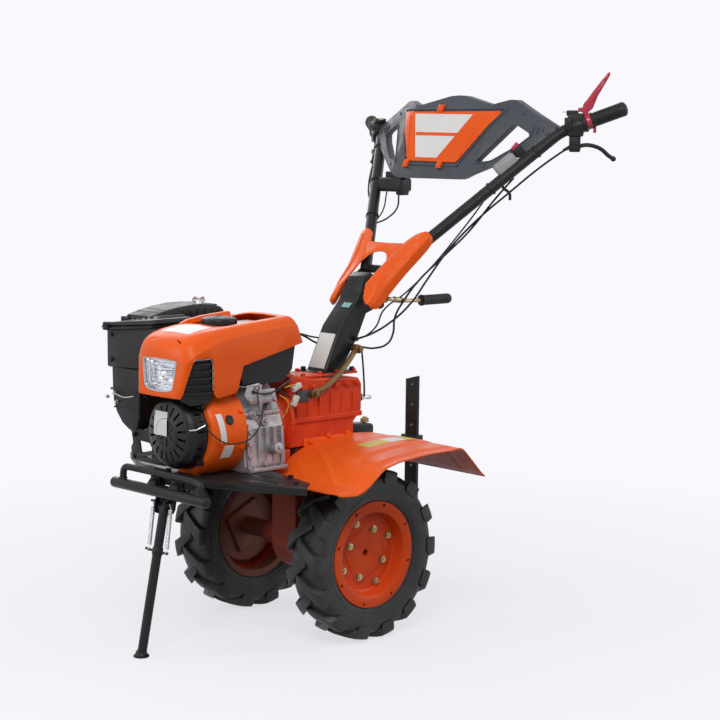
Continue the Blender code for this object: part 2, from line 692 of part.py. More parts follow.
def air_cleaner(body, box_finish, lid_finish):
    """A stepped box with a rounded foot, under a lid that rises towards the hood."""
    outline = [(-0.338, LID_SEAT - GAP), (-0.336, 0.714), (-0.312, 0.706), (-0.308, 0.640),
               (-0.300, 0.606), (-0.280, 0.574), (-0.248, 0.550), (-0.212, 0.548),
               (-0.198, 0.600), (-0.196, 0.650), (-0.196, 0.714), (-0.124, 0.720),
               (-0.122, LID_SEAT + LID_RISE - 0.001 - GAP)]
    piece("air_cleaner_box", body, box_finish,
          [prism(outline, "X", CLEANER_REAR, CLEANER_FRONT, 0.004, angle=40.0)])
    edge = [(-0.345, LID_SEAT), (-0.345, LID_SEAT + 0.014), (-0.334, LID_SEAT + 0.021),
            (-0.130, LID_SEAT + 0.042), (-0.118, LID_SEAT + 0.038), (-0.118, LID_SEAT + LID_RISE)]
    piece("air_cleaner_lid", body, lid_finish,
          [prism(edge, "X", CLEANER_REAR - 0.003, CLEANER_FRONT + 0.010, 0.003)])


def carburettor(body, finish):
    piece("carburettor", body, finish, [box((0.2902, -0.1957, 0.652), (0.334, -0.135, 0.706), 0.004)])


def muffler(body, finish):
    """The silencer on its stub, under a higher guard."""
    silencer = box((0.140, -0.285, 0.742), (0.272, -0.150, 0.826), 0.010)
    guard = box((0.134, -0.290, 0.815), (0.284, -0.196, 0.866), 0.006)
    stub = rod((0.215, -0.158, 0.7063), (0.215, -0.158, 0.760), 0.016)
    piece("muffler", body, finish, [silencer, guard, stub])


# ---------------------------------------------------------------- front frame

RAIL_TOP = ENGINE_FLOOR - GAP - DECK_THICK - GAP


def front_frame(body, finish):
    """Two rails from the gear case to the bumper, with a cross member under the crankcase."""
    solids = []
    for side in (1, -1):
        low, high = sorted((side * (RAIL_Y - RAIL_WIDTH / 2), side * (RAIL_Y + RAIL_WIDTH / 2)))
        solids.append(box((LEG_DEPTH / 2 + GAP, low, RAIL_TOP - RAIL_HEIGHT),
                          (RAIL_FRONT, high, RAIL_TOP), 0.002))
    for x in (0.300, 0.440):
        solids.append(box((x, -RAIL_Y, RAIL_TOP - 0.020), (x + 0.030, RAIL_Y, RAIL_TOP - 0.004)))
    solids.append(box((LEG_DEPTH / 2 + GAP, -CASE_WIDTH / 2, RAIL_TOP - 0.070),
                      (LEG_DEPTH / 2 + GAP + 0.008, CASE_WIDTH / 2, RAIL_TOP - 0.002)))
    piece("front_frame", body, finish, solids)


def deck_plate(body, finish):
    top = ENGINE_FLOOR - GAP
    half = [(0.448, 0.060), (0.436, 0.120), (0.386, 0.250), (0.322, 0.362), (0.262, 0.310),
            (0.222, 0.120)]
    outline = [(0.448, -0.060)] + half + [(0.222, -0.120), (0.262, -0.310), (0.322, -0.362),
                                          (0.386, -0.250), (0.436, -0.120)]
    piece("deck_plate", body, finish, [prism(outline, "Z", top - DECK_THICK, top)])


def front_bumper(body, finish):
    bar = rod((BUMPER_X, -BUMPER_HALF, BUMPER_Z), (BUMPER_X, BUMPER_HALF, BUMPER_Z), BUMPER_RADIUS)
    loop_x, loop_y, loop_z = BUMPER_X - 0.006, BUMPER_HALF - 0.036, BUMPER_Z + 0.046
    route = [(loop_x, -loop_y, BUMPER_Z), (loop_x, -loop_y, loop_z), (loop_x, loop_y, loop_z),
             (loop_x, loop_y, BUMPER_Z)]
    loop = tube(bent(route, 0.030), 0.009)
    feet = []
    for side in (1, -1):
        low, high = sorted((side * (RAIL_Y - 0.015), side * (RAIL_Y + 0.015)))
        feet.append(box((RAIL_FRONT + GAP, low, BUMPER_Z - 0.006),
                        (BUMPER_X - 0.006, high, RAIL_TOP - 0.002)))
    piece("front_bumper", body, finish, [bar, loop] + feet)


def stand_bracket(body, finish):
    """Two ears hang from the bumper, and the stand's pin runs between them."""
    solids = []
    for side in (1, -1):
        low, high = sorted((side * EAR_GAP / 2, side * (EAR_GAP / 2 + 0.004)))
        outline = [(STAND_X - 0.020, STAND_Z - 0.006), (STAND_X + 0.016, STAND_Z - 0.012),
                   (STAND_X + 0.014, STAND_Z + 0.020), (STAND_X - 0.016, RAIL_TOP - 0.026),
                   (STAND_X - 0.030, RAIL_TOP - 0.026)]
        solids.append(prism(outline, "Y", low, high))
    cross = box((STAND_X - 0.030, -RAIL_Y - 0.010, RAIL_TOP - RAIL_HEIGHT - 0.0063),
                (STAND_X - 0.016, RAIL_Y + 0.010, RAIL_TOP - RAIL_HEIGHT - GAP))
    pin = rod((STAND_X, -EAR_GAP / 2 - 0.008, STAND_Z), (STAND_X, EAR_GAP / 2 + 0.008, STAND_Z), 0.005)
    hooks = rod((STAND_X + 0.006, -SPRING_Y - 0.008, SPRING_TOP_Z),
                (STAND_X + 0.006, SPRING_Y + 0.008, SPRING_TOP_Z), 0.0035, 10)
    middle = box((STAND_X - 0.02, -EAR_GAP / 2, STAND_Z + 0.006),
                 (STAND_X + 0.03, EAR_GAP / 2, STAND_Z + 0.030))
    piece("stand_bracket", body, finish, solids + [cross, pin, hooks], [middle])


def stand(body, leg_finish, spring_finish):
    foot = Vector((STAND_FOOT_X, 0, -LIFT))
    up = (STAND_PIVOT - foot).normalized()
    top = STAND_PIVOT + up * 0.010
    leg = rod(foot + up * 0.004, top, STAND_RADIUS)
    sole = turned([(0, 0), (FOOT_RADIUS, 0), (FOOT_RADIUS, 0.003), (0.016, FOOT_THICK + 0.002),
                   (0, FOOT_THICK + 0.002)], foot, "Z", 24)
    low = foot + up * ((SPRING_LOW_Z + LIFT) / up.z)
    cross = rod(low + Vector((0, -SPRING_Y - 0.008, 0)), low + Vector((0, SPRING_Y + 0.008, 0)),
                0.0035, 10)
    bore = rod((STAND_X, -0.03, STAND_Z), (STAND_X, 0.03, STAND_Z), 0.005 + 0.0004)
    piece("stand_leg", body, leg_finish, [leg, sole, cross], [bore])
    top_hook = Vector((STAND_X + 0.006, 0, SPRING_TOP_Z))
    run = (low - top_hook).normalized()
    for side, name in ((1, "stand_spring_left"), (-1, "stand_spring_right")):
        shift = Vector((0, side * SPRING_Y, 0))
        start = top_hook + shift + run * (0.0035 + GAP + 0.0005)
        end = low + shift - run * (0.0035 + GAP + 0.0005)
        piece(name, body, spring_finish, [rod(start, end, SPRING_RADIUS, 12)])


# ---------------------------------------------------------------- fenders

def fender(body, finish, side, name):
    inner = [(0.232, 0.436), (0.165, 0.440), (0.125, 0.470), (0.060, 0.500), (-0.020, 0.514),
             (-0.120, 0.520), (-0.215, 0.512), (-0.300, 0.424)]
    outer = [(0.226, 0.434), (0.160, 0.438), (0.120, 0.468), (0.085, 0.494), (0.030, 0.506),
             (-0.082, 0.514), (-0.206, 0.514), (-0.300, 0.421)]
    sections = []
    for profile, y in ((inner, FENDER_INNER), (outer, FENDER_OUTER)):
        ring = [(x, side * y, z + LIFT) for x, z in profile]
        ring += [(x, side * y, z + LIFT - FENDER_WALL) for x, z in reversed(profile)]
        sections.append(ring)
    piece(name, body, finish, [lofted(sections)])


# ---------------------------------------------------------------- column

COLUMN_SEAT = CASE_TOP + GAP
BRACKET_IN = COLUMN_HALF + RUN
BRACKET_OUT = BRACKET_IN + 0.006
LEVER_X = -0.262
LEVER_Z = 0.885

def handle_column(body, finish):
    outline = [(COLUMN_FOOT_X, COLUMN_SEAT), (-0.098, 0.814), (PIVOT_X + 0.046, PIVOT_Z + 0.010),
               (PIVOT_X + 0.020, PIVOT_Z + 0.030), (PIVOT_X - 0.022, PIVOT_Z + 0.012),
               (-0.200, 0.853), (-0.157, 0.766), (-0.118, 0.712), (-0.118, COLUMN_SEAT)]
    column = prism(outline, "Y", -COLUMN_HALF, COLUMN_HALF, 0.003)
    reach = BRACKET_OUT + 0.006
    bolt = rod((PIVOT_X, -reach, PIVOT_Z), (PIVOT_X, reach, PIVOT_Z), PIVOT_BOLT)
    ear = prism([(-0.150, 0.830), (LEVER_X - 0.006, 0.872), (LEVER_X - 0.006, 0.896),
                 (-0.170, 0.880)], "Y", COLUMN_HALF - 0.006, COLUMN_HALF)
    piece("handle_column", body, finish, [column, bolt, ear])


ARM_RADIUS = 0.007
ARM_BEND = Vector((-0.116, COLUMN_HALF + GAP + ARM_RADIUS, 0.722))
ARM_END = Vector((-0.146, COLUMN_HALF + GAP + ARM_RADIUS, 0.752))


def shift_arm(body, finish):
    beside = CASE_WIDTH / 2 + GAP + ARM_RADIUS
    route = [(-0.020, beside, 0.650), (-0.066, beside + 0.002, 0.698), ARM_BEND, ARM_END]
    piece("shift_arm", body, finish, [tube(bent(route, 0.012), ARM_RADIUS)])


def gear_lever(body, rod_finish, grip_finish):
    lever_y = COLUMN_HALF + 0.022
    route = [(LEVER_X, COLUMN_HALF + GAP, LEVER_Z), (LEVER_X, lever_y, LEVER_Z),
             (-0.330, lever_y, 0.876), (-0.395, lever_y, 0.874)]
    end = Vector((-0.512, lever_y, 0.874))
    start = Vector((-0.395 - GAP, lever_y, 0.874))
    piece("gear_lever", body, rod_finish, [tube(bent(route, 0.020), 0.006)])
    grip = rod(start, end, 0.0155)
    rounded(grip, 0.005, 3, 40.0)
    piece("gear_lever_grip", body, grip_finish, [grip])


def hitch(body, frame_finish, bar_finish):
    """The socket behind the gear case that holds the depth bar, its bar and its pin."""
    half = DRAG_WIDTH / 2 + 0.004
    beam = box((DRAG_X + 0.014, -0.020, 0.505), (HITCH_FACE - 0.004, 0.020, 0.540), 0.002)
    flange = box((HITCH_FACE - 0.008, -0.045, 0.502), (HITCH_FACE - GAP, 0.045, 0.546), 0.001)
    socket = box((DRAG_X - 0.016, -half, 0.470), (DRAG_X + 0.016, half, 0.545), 0.002)
    slot = box((DRAG_X - DRAG_THICK / 2 - GAP, -DRAG_WIDTH / 2 - GAP, 0.40),
               (DRAG_X + DRAG_THICK / 2 + GAP, DRAG_WIDTH / 2 + GAP, 0.60))
    piece("hitch_socket", body, frame_finish, [beam, socket, flange], [slot])
    outline = [(-DRAG_WIDTH / 2, DRAG_FLOOR), (DRAG_WIDTH / 2, DRAG_FLOOR),
               (DRAG_WIDTH / 2, DRAG_TOP), (-DRAG_WIDTH / 2, DRAG_TOP - 0.012)]
    bar = prism(outline, "X", DRAG_X - DRAG_THICK / 2, DRAG_X + DRAG_THICK / 2)
    holes = []
    for k in range(8):
        z = DRAG_TOP - 0.026 - k * DRAG_PITCH
        holes.append(rod((DRAG_X - 0.02, 0, z), (DRAG_X + 0.02, 0, z), 0.0055, 12))
    piece("depth_bar", body, bar_finish, [bar], holes)


# ---------------------------------------------------------------- handlebar

def flip(point, side):
    return Vector((point.x, side * point.y, point.z))


def grip_run(side):
    return (GRIP_END[side] - FORK_BEND[side]).normalized()


def along_grip(side, back):
    """A point on a bar's last stretch, so far back from the inner end of its grip."""
    return GRIP_END[side] - grip_run(side) * (GRIP_LENGTH + back)


def handlebar(side, radius, cap):
    """One bar, from the bracket to its grip."""
    route = [flip(FORK_LOW, side), FORK_BEND[side], GRIP_END[side] - grip_run(side) * cap]
    return tube(bent(route, 0.025), radius, BAR_SIDES)


def handle_fork(body, finish):
    """Two bars in a V, joined at a bracket that turns on the column's bolt."""
    solids = []
    for side in (1, -1):
        solids.append(handlebar(side, BAR_RADIUS, GRIP_CAP))
    for side in (1, -1):
        low, high = sorted((side * BRACKET_IN, side * BRACKET_OUT))
        outline = [(PIVOT_X + 0.010, PIVOT_Z - 0.018), (PIVOT_X + 0.017, PIVOT_Z + 0.002),
                   (PIVOT_X + 0.003, PIVOT_Z + 0.017), (PIVOT_X - 0.060, PIVOT_Z + 0.056),
                   (PIVOT_X - 0.078, PIVOT_Z + 0.030), (PIVOT_X - 0.018, PIVOT_Z - 0.024)]
        solids.append(prism(outline, "Y", low, high))
    bore = rod((PIVOT_X, -0.2, PIVOT_Z), (PIVOT_X, 0.2, PIVOT_Z), PIVOT_BOLT + SHAFT_FIT)
    solids.append(box((PIVOT_X - 0.070, -BRACKET_OUT, PIVOT_Z + 0.028),
                      (PIVOT_X - 0.050, BRACKET_OUT, PIVOT_Z + 0.050)))
    piece("handle_fork", body, finish, solids, [bore])


def bar_space(side):
    """What a bar fills, with a gap round it."""
    return handlebar(side, (BAR_RADIUS + GAP) / math.cos(math.pi / BAR_SIDES), GRIP_CAP - GAP)


def lever_clamp(side, extra=0.0):
    near = COLLAR_LENGTH + 2 * GAP - extra
    far = COLLAR_LENGTH + 2 * GAP + CLAMP_LENGTH + extra
    return rod(along_grip(side, far), along_grip(side, near), CLAMP_RADIUS + 2 * extra)


def in_fork_plane(bm):
    """From a flat drawing (Y, along the bars, forward of them) to its place."""
    run = Vector((FORK_BEND[1].x - FORK_LOW.x, 0, FORK_BEND[1].z - FORK_LOW.z)).normalized()
    out = Vector((0, 1, 0)).cross(run)
    matrix = Matrix(((0, run.x, out.x, FORK_LOW.x), (1, 0, 0, 0),
                     (0, run.z, out.z, FORK_LOW.z), (0, 0, 0, 1)))
    return moved(bm, matrix)


def handle_cover(body, finish):
    """A pressed saddle over the column's head: a wing along each bar, and a bridge between them."""
    seat = BAR_RADIUS + 2 * GAP
    top = seat + COVER_WALL
    inner = COLUMN_HALF + RUN + 0.0005
    # along the bars, outer edge, inner edge, height of the inner edge, foot of the skirt
    stations = [(-0.122, 0.086, 0.064, top + 0.002, -0.004), (-0.075, 0.092, inner, 0.046, -0.007),
                (0.010, 0.106, inner + 0.003, 0.030, -0.007), (0.085, 0.1265, 0.062, 0.027, -0.007),
                (0.122, 0.138, 0.094, 0.023, -0.007), (0.126, 0.139, 0.097, 0.022, seat),
                (0.146, 0.138, 0.112, top + 0.0005, seat), (0.153, 0.131, 0.120, top, seat)]
    solids = []
    for side in (1, -1):
        rings = []
        for along, outer, inside, rise, foot in stations:
            ring = [(outer, foot), (outer, top), (inside, rise), (inside, rise - COVER_WALL),
                    (outer - COVER_WALL, seat + 0.0001), (outer - COVER_WALL, foot)]
            rings.append([(side * y, along, height) for y, height in ring])
        solids.append(lofted(rings))
    arch = [(0.070, 0.090), (-0.070, 0.090), (-0.066, 0.030), (-0.050, 0.018), (-0.018, 0.056),
            (0.018, 0.056), (0.050, 0.018), (0.066, 0.030)]
    solids.append(prism(arch, "Z", 0.0235, 0.0268))
    piece("handle_cover", body, finish, [in_fork_plane(bm) for bm in solids])


def dash_x(y, z):
    """The dash leans back, and its ends are swept back along the bars."""
    return -0.488 - 0.518 * (z - 1.22) - 0.39 * max(0.0, abs(y) - DASH_BREAK)


def swept(bm):
    """Bends a flat dash solid, drawn about X = 0, to the dash's surface."""
    for y in (-DASH_BREAK, DASH_BREAK):
        bmesh.ops.bisect_plane(bm, geom=bm.verts[:] + bm.edges[:] + bm.faces[:],
                               plane_co=(0, y, 0), plane_no=(0, 1, 0), dist=1e-6)
    for vertex in bm.verts:
        vertex.co.x += dash_x(vertex.co.y, vertex.co.z)
    return closed(bm)


def carved(solid, cuts):
    """A flat solid with its cuts already taken out, so that it can still be bent."""
    scene = bpy.context.scene.collection
    made = []
    for bm in [solid] + list(cuts):
        item = bpy.data.objects.new("raw", bpy.data.meshes.new("raw"))
        bm.to_mesh(item.data)
        bm.free()
        scene.objects.link(item)
        made.append(item)
    for cutter in made[1:]:
        boolean = made[0].modifiers.new("cut", "BOOLEAN")
        boolean.object = cutter
        boolean.solver = "EXACT"
    bpy.context.view_layer.update()
    result = bmesh.new()
    result.from_object(made[0], bpy.context.evaluated_depsgraph_get())
    for item in made:
        bpy.data.meshes.remove(item.data)
    return closed(result)


def dash(body, frame_finish, panel_finish):
    half = [(0.000, 1.459), (0.145, 1.431), (0.205, 1.446), (0.283, 1.403), (0.350, 1.365),
            (0.318, 1.318), (0.196, 1.251), (0.125, 1.218)]
    outline = half + [(-y, z) for y, z in reversed(half[1:])]
    slab = prism(outline, "X", -0.004, 0.010)
    windows = []
    for side in (1, -1):
        window = [(0.170, 1.272), (0.231, 1.374), (0.282, 1.348), (0.262, 1.318), (0.205, 1.276)]
        windows.append(prism([(side * y, z) for y, z in window], "X", -0.05, 0.05))
    frame = swept(carved(slab, windows))
    cuts = [bar_space(1), bar_space(-1), lever_clamp(1, GAP), lever_clamp(-1, GAP)]
    piece("dash_frame", body, frame_finish, [frame], cuts)
    panel = [(-0.205, 1.413), (0.190, 1.413), (0.090, 1.262), (-0.110, 1.265)]
    plate = swept(prism(panel, "X", 0.010 + GAP, 0.014))
    piece("dash_panel", body, panel_finish, [plate])


def in_grip_plane(bm, side):
    """From a flat drawing (outwards from a bar's bend, across, up) to the upright plane of its grip."""
    bend, end = FORK_BEND[side], GRIP_END[side]
    run = Vector((end.x - bend.x, end.y - bend.y, 0)).normalized()
    across = Vector((0, 0, 1)).cross(run)
    matrix = Matrix(((run.x, across.x, 0, bend.x), (run.y, across.y, 0, bend.y),
                     (0, 0, 1, bend.z), (0, 0, 0, 1)))
    return moved(bm, matrix)


LEVER_LUG = 0.008          # half the thickness of the lug that carries a steering lever


def grips_and_levers(body, rubber, plastic, red, black):
    for side, word in ((1, "left"), (-1, "right")):
        grip = rod(along_grip(side, 0), GRIP_END[side], GRIP_RADIUS)
        piece(f"{word}_grip", body, rubber, [grip], [bar_space(side)])
        lug = prism([(0.024, 0.010), (0.060, 0.016), (0.054, -0.022), (0.052, -0.052),
                     (0.024, -0.052)], "Y", -LEVER_LUG, LEVER_LUG)
        piece(f"{word}_clamp", body, plastic, [lever_clamp(side), in_grip_plane(lug, side)],
              [bar_space(side)])
        hook = [(0.0539, -0.041), (0.088, -0.037), (0.112, -0.046), (0.132, -0.064), (0.150, -0.075)]
        lever = tube(smooth_path([(along, 0, up) for along, up in hook], 2), 0.0052, 8)
        piece(f"{word}_steering_lever", body, black, [in_grip_plane(lever, side)])
    collar = rod(along_grip(1, GAP + COLLAR_LENGTH), along_grip(1, GAP), CLAMP_RADIUS - 0.002)
    blade = prism([(0.0670, 0.038), (0.0735, 0.042), (0.0760, 0.056), (0.088, 0.066), (0.101, 0.100),
                   (0.134, 0.160), (0.1325, 0.167), (0.127, 0.166), (0.080, 0.104), (0.062, 0.078),
                   (0.058, 0.058), (0.0635, 0.0510)],
                  "Y", -0.006, 0.006, 0.002)
    piece("clutch_lever", body, red, [collar, in_grip_plane(blade, 1)], [bar_space(1)])


def switch_box(body, finish):
    middle = Vector((-0.530, 0.245, 1.247))
    size = Vector((0.030, 0.022, 0.018))
    piece("switch_box", body, finish, [box(middle - size, middle + size, 0.003)], [bar_space(1)])


def cables(body, finish):
    """Inner routes: from the left clamp to the shift arm, and from the dash to the engine."""
    arm_run = (ARM_END - ARM_BEND).normalized()
    lug = FORK_BEND[1] + Vector((-0.0135, 0.0177, -0.044))
    clutch = [lug, lug + Vector((0.009, -0.012, -0.006)), (-0.610, 0.318, 1.276),
              (-0.560, 0.235, 1.175), (-0.500, 0.165, 1.080), (-0.425, 0.110, 0.985),
              (-0.345, 0.095, 0.895), (-0.255, 0.085, 0.815), (-0.195, 0.060, 0.797),
              ARM_END + arm_run * 0.018, ARM_END + arm_run * 0.0005]
    piece("clutch_cable", body, finish, [tube(smooth_path(clutch), CABLE_RADIUS, 6)])


def build():
    orange = material("orange_paint", (0.90, 0.23, 0.03), 0.30)
    casting = material("orange_casting", (0.80, 0.13, 0.04), 0.45)
    black = material("black_paint", (0.020, 0.020, 0.022), 0.35)
    plastic = material("black_plastic", (0.025, 0.025, 0.028), 0.50)
    slate = material("slate_plastic", (0.075, 0.085, 0.105), 0.45)
    rubber = material("rubber", (0.018, 0.018, 0.018), 0.75)
    cast = material("cast_aluminium", (0.45, 0.44, 0.45), 0.45, 0.8)
    zinc = material("zinc", (0.60, 0.55, 0.42), 0.35, 0.9)
    steel = material("steel", (0.62, 0.62, 0.64), 0.30, 1.0)
    red = material("red_plastic", (0.80, 0.06, 0.13), 0.40)
    glass = material("clear_lens", (0.75, 0.78, 0.80), 0.10)

    root = Body("machine", (MIDDLE_X, 0, -LIFT))
    root.empty.location = (0, 0, 0)
    chassis = Body("chassis", (0, 0, 0), root)
    left_wheel = Body("left_wheel", AXLE, root)
    right_wheel = Body("right_wheel", AXLE, root)
    front_stand = Body("front_stand", STAND_PIVOT, root)
    handlebar = Body("handlebar", PIVOT, root)

    for side, body, word in ((1, left_wheel, "left"), (-1, right_wheel, "right")):
        tyre(body, rubber, side, f"{word}_tyre")
        rim(body, orange, side, f"{word}_rim")
        hub(body, casting, side, f"{word}_hub")
        fender(chassis, orange, side, f"{word}_fender")

    gearbox_case(chassis, casting)
    axle_case(chassis, casting)
    clutch_housing(chassis, casting)
    crankcase(chassis, cast)
    cylinder_parts(chassis, cast, black)
    blower_housing(chassis, orange)
    recoil_starter(chassis, plastic)
    engine_hood(chassis, orange)
    hood_vents(chassis, plastic)
    headlight(chassis, glass)
    fuel_tank(chassis, black)
    fuel_cap(chassis, plastic)
    air_cleaner(chassis, plastic, plastic)
    carburettor(chassis, cast)
    muffler(chassis, black)
    front_frame(chassis, black)
    deck_plate(chassis, black)
    front_bumper(chassis, black)
    stand_bracket(chassis, black)
    stand(front_stand, black, steel)
    handle_column(chassis, black)
    shift_arm(chassis, zinc)
    gear_lever(chassis, zinc, plastic)
    hitch(chassis, black, black)
    handle_fork(handlebar, black)
    handle_cover(handlebar, orange)
    dash(handlebar, slate, orange)
    grips_and_levers(handlebar, rubber, plastic, red, black)
    switch_box(handlebar, slate)
    cables(chassis, plastic)


for old in list(bpy.data.objects):
    bpy.data.objects.remove(old, do_unlink=True)
build()
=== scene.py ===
"""Two-wheel power weeder: finished pieces and materials round its solid model.

X is forward, Y is to the machine's left and Z is up, in metres. Places are written in the axle
frame, where the wheels turn at X = 0, and settle() moves a finished mesh to the model's frame.
"""

import json
import math

import bmesh
import bpy
import numpy as np
from mathutils import Matrix, Vector
from mathutils.bvhtree import BVHTree


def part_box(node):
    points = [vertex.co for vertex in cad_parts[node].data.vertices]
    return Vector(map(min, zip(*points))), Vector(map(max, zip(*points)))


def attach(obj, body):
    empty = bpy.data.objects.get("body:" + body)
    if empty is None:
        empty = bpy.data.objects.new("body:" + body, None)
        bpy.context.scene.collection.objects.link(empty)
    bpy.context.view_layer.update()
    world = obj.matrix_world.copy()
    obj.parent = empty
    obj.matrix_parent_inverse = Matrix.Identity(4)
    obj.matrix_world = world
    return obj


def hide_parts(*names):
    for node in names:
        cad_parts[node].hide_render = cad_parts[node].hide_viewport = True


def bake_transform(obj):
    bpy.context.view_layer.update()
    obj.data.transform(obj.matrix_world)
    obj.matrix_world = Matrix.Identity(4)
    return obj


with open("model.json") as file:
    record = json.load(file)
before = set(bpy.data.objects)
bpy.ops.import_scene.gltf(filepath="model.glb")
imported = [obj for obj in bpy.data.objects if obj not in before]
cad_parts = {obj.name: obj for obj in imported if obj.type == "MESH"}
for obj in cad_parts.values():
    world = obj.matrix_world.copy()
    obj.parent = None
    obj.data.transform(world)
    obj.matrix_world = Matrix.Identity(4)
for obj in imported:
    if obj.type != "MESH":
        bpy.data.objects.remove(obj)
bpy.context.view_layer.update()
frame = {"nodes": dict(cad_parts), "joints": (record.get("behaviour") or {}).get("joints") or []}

AXLE_X = next(j["pos_m"][0] for j in frame["joints"] if j["name"] == "left_wheel_spin")
SHIFT = Vector((AXLE_X, 0, 0))
MERGE = 1e-5               # points nearer than this are one
CRANK = Vector((0, 0, 0.572))
SIDES = ((1, "left"), (-1, "right"))
ACROSS = Matrix.Diagonal((1, -1, 1, 1))      # to the machine's other side
AXES = {"X": Vector((1, 0, 0)), "Y": Vector((0, 1, 0)), "Z": Vector((0, 0, 1))}

# ---------------------------------------------------------------- stage

CAMERA_TURN = 44.24        # of the view, from the machine's nose towards its left side
CAMERA_DROP = 6.8          # of the view, below the level
CAMERA_ROLL = 0.63
CAMERA_PLACE = Vector((3.36845, 3.67607, 1.32224))
CAMERA_LENS = 91.645
BACKGROUND = (0.946, 0.939, 0.98, 1.0)
STAGE_MIDDLE = Vector((0, 0, 0.7))


def stage_camera():
    turn, drop, roll = (math.radians(a) for a in (CAMERA_TURN, CAMERA_DROP, CAMERA_ROLL))
    look = Vector((-math.sin(turn) * math.cos(drop), -math.cos(turn) * math.cos(drop),
        -math.sin(drop)))
    level = look.cross(Vector((0, 0, 1))).normalized()
    above = level.cross(look)
    right = level * math.cos(roll) + above * math.sin(roll)
    up = above * math.cos(roll) - level * math.sin(roll)
    bpy.ops.object.camera_add()
    camera = bpy.context.object
    camera.name = "studio_camera"
    camera.data.sensor_width = 36.0
    camera.data.lens = CAMERA_LENS
    place = Matrix((right, up, -look)).transposed().to_4x4()
    place.translation = CAMERA_PLACE + SHIFT
    camera.matrix_world = place
    bpy.context.scene.camera = camera


def area_light(name, place, size, power, tint=(1.0, 1.0, 1.0)):
    bpy.ops.object.light_add(type="AREA", location=Vector(place) + SHIFT)
    lamp = bpy.context.object
    lamp.name = name
    lamp.data.shape = "RECTANGLE"
    lamp.data.size, lamp.data.size_y = size
    lamp.data.energy = power
    lamp.data.color = tint
    look = STAGE_MIDDLE - Vector(place)
    lamp.rotation_euler = look.to_track_quat("-Z", "Y").to_euler()


def network(tree, nodes, wires):
    """Fills a node tree: name, kind and values of each node, then the wires between them."""
    tree.nodes.clear()
    made = {}
    for name, kind, values in nodes:
        node = made[name] = tree.nodes.new(f"ShaderNode{kind}")
        for key, value in values.items():
            if key in node.inputs:
                node.inputs[key].default_value = value
            else:
                setattr(node, key, value)
    for start, output, end, socket in wires:
        tree.links.new(made[start].outputs[output], made[end].inputs[socket])


def pale_world():
    world = bpy.data.worlds.new("pale_studio")
    world.use_nodes = True
    bpy.context.scene.world = world
    network(world.node_tree, (("out", "OutputWorld", {}), ("mix", "MixShader", {}),
        ("seen", "Background", {"Color": BACKGROUND}),
        ("lit", "Background", {"Color": (0.93, 0.95, 1.0, 1.0), "Strength": 0.42}),
        ("rays", "LightPath", {}), ("either", "Math", {"operation": "MAXIMUM"}),
        ("any", "Math", {"operation": "MAXIMUM"})),
        (("rays", "Is Camera Ray", "either", 0), ("rays", "Is Glossy Ray", "either", 1),
        ("either", 0, "any", 0), ("rays", "Is Transmission Ray", "any", 1),
        ("any", 0, "mix", "Fac"), ("lit", 0, "mix", 1), ("seen", 0, "mix", 2),
        ("mix", 0, "out", "Surface")))


def studio_floor():
    """Pale paper near the machine that fades to the background's glow further out."""
    bpy.ops.mesh.primitive_plane_add(size=60.0, location=(0, 0, -0.0005))
    floor = bpy.context.object
    floor.name = "studio_floor"
    made = bpy.data.materials.new("floor_paper")
    made.use_nodes = True
    network(made.node_tree, (("out", "OutputMaterial", {}), ("mix", "MixShader", {}),
        ("paper", "BsdfDiffuse", {"Color": (0.8, 0.8, 0.83, 1.0)}),
        ("dull", "BsdfDiffuse", {"Color": (0.07, 0.07, 0.07, 1.0)}),
        ("bounced", "MixShader", {}), ("glow", "Emission", {"Color": BACKGROUND}),
        ("far", "TexCoord", {}), ("reach", "VectorMath", {"operation": "LENGTH"}),
        ("fade", "MapRange", {"From Min": 0.5, "From Max": 2.4, "To Min": 0.7, "To Max": 1.0}),
        ("rays", "LightPath", {}), ("seen", "Math", {"operation": "MAXIMUM"}),
        ("amount", "Math", {"operation": "MULTIPLY"})),
        (("far", "Object", "reach", 0), ("reach", "Value", "fade", "Value"),
        ("rays", "Is Camera Ray", "seen", 0), ("rays", "Is Glossy Ray", "seen", 1),
        ("seen", 0, "amount", 0), ("fade", "Result", "amount", 1), ("amount", 0, "mix", "Fac"),
        ("rays", "Is Diffuse Ray", "bounced", "Fac"), ("paper", 0, "bounced", 1),
        ("dull", 0, "bounced", 2), ("bounced", 0, "mix", 1), ("glow", 0, "mix", 2),
        ("mix", 0, "out", "Surface")))
    floor.data.materials.append(made)


def build_stage():
    bpy.context.scene.view_settings.view_transform = "Standard"
    stage_camera()
    pale_world()
    studio_floor()
    area_light("key_softbox", (2.6, 2.2, 3.4), (2.4, 1.8), 105.0, (1.0, 0.98, 0.95))
    area_light("nose_softbox", (3.6, -1.6, 1.8), (1.6, 2.2), 40.0)
    area_light("rear_softbox", (-3.0, 2.6, 2.2), (1.6, 2.2), 30.0)
    area_light("far_softbox", (-1.6, -3.4, 2.6), (2.2, 1.8), 30.0)


# ---------------------------------------------------------------- finishes

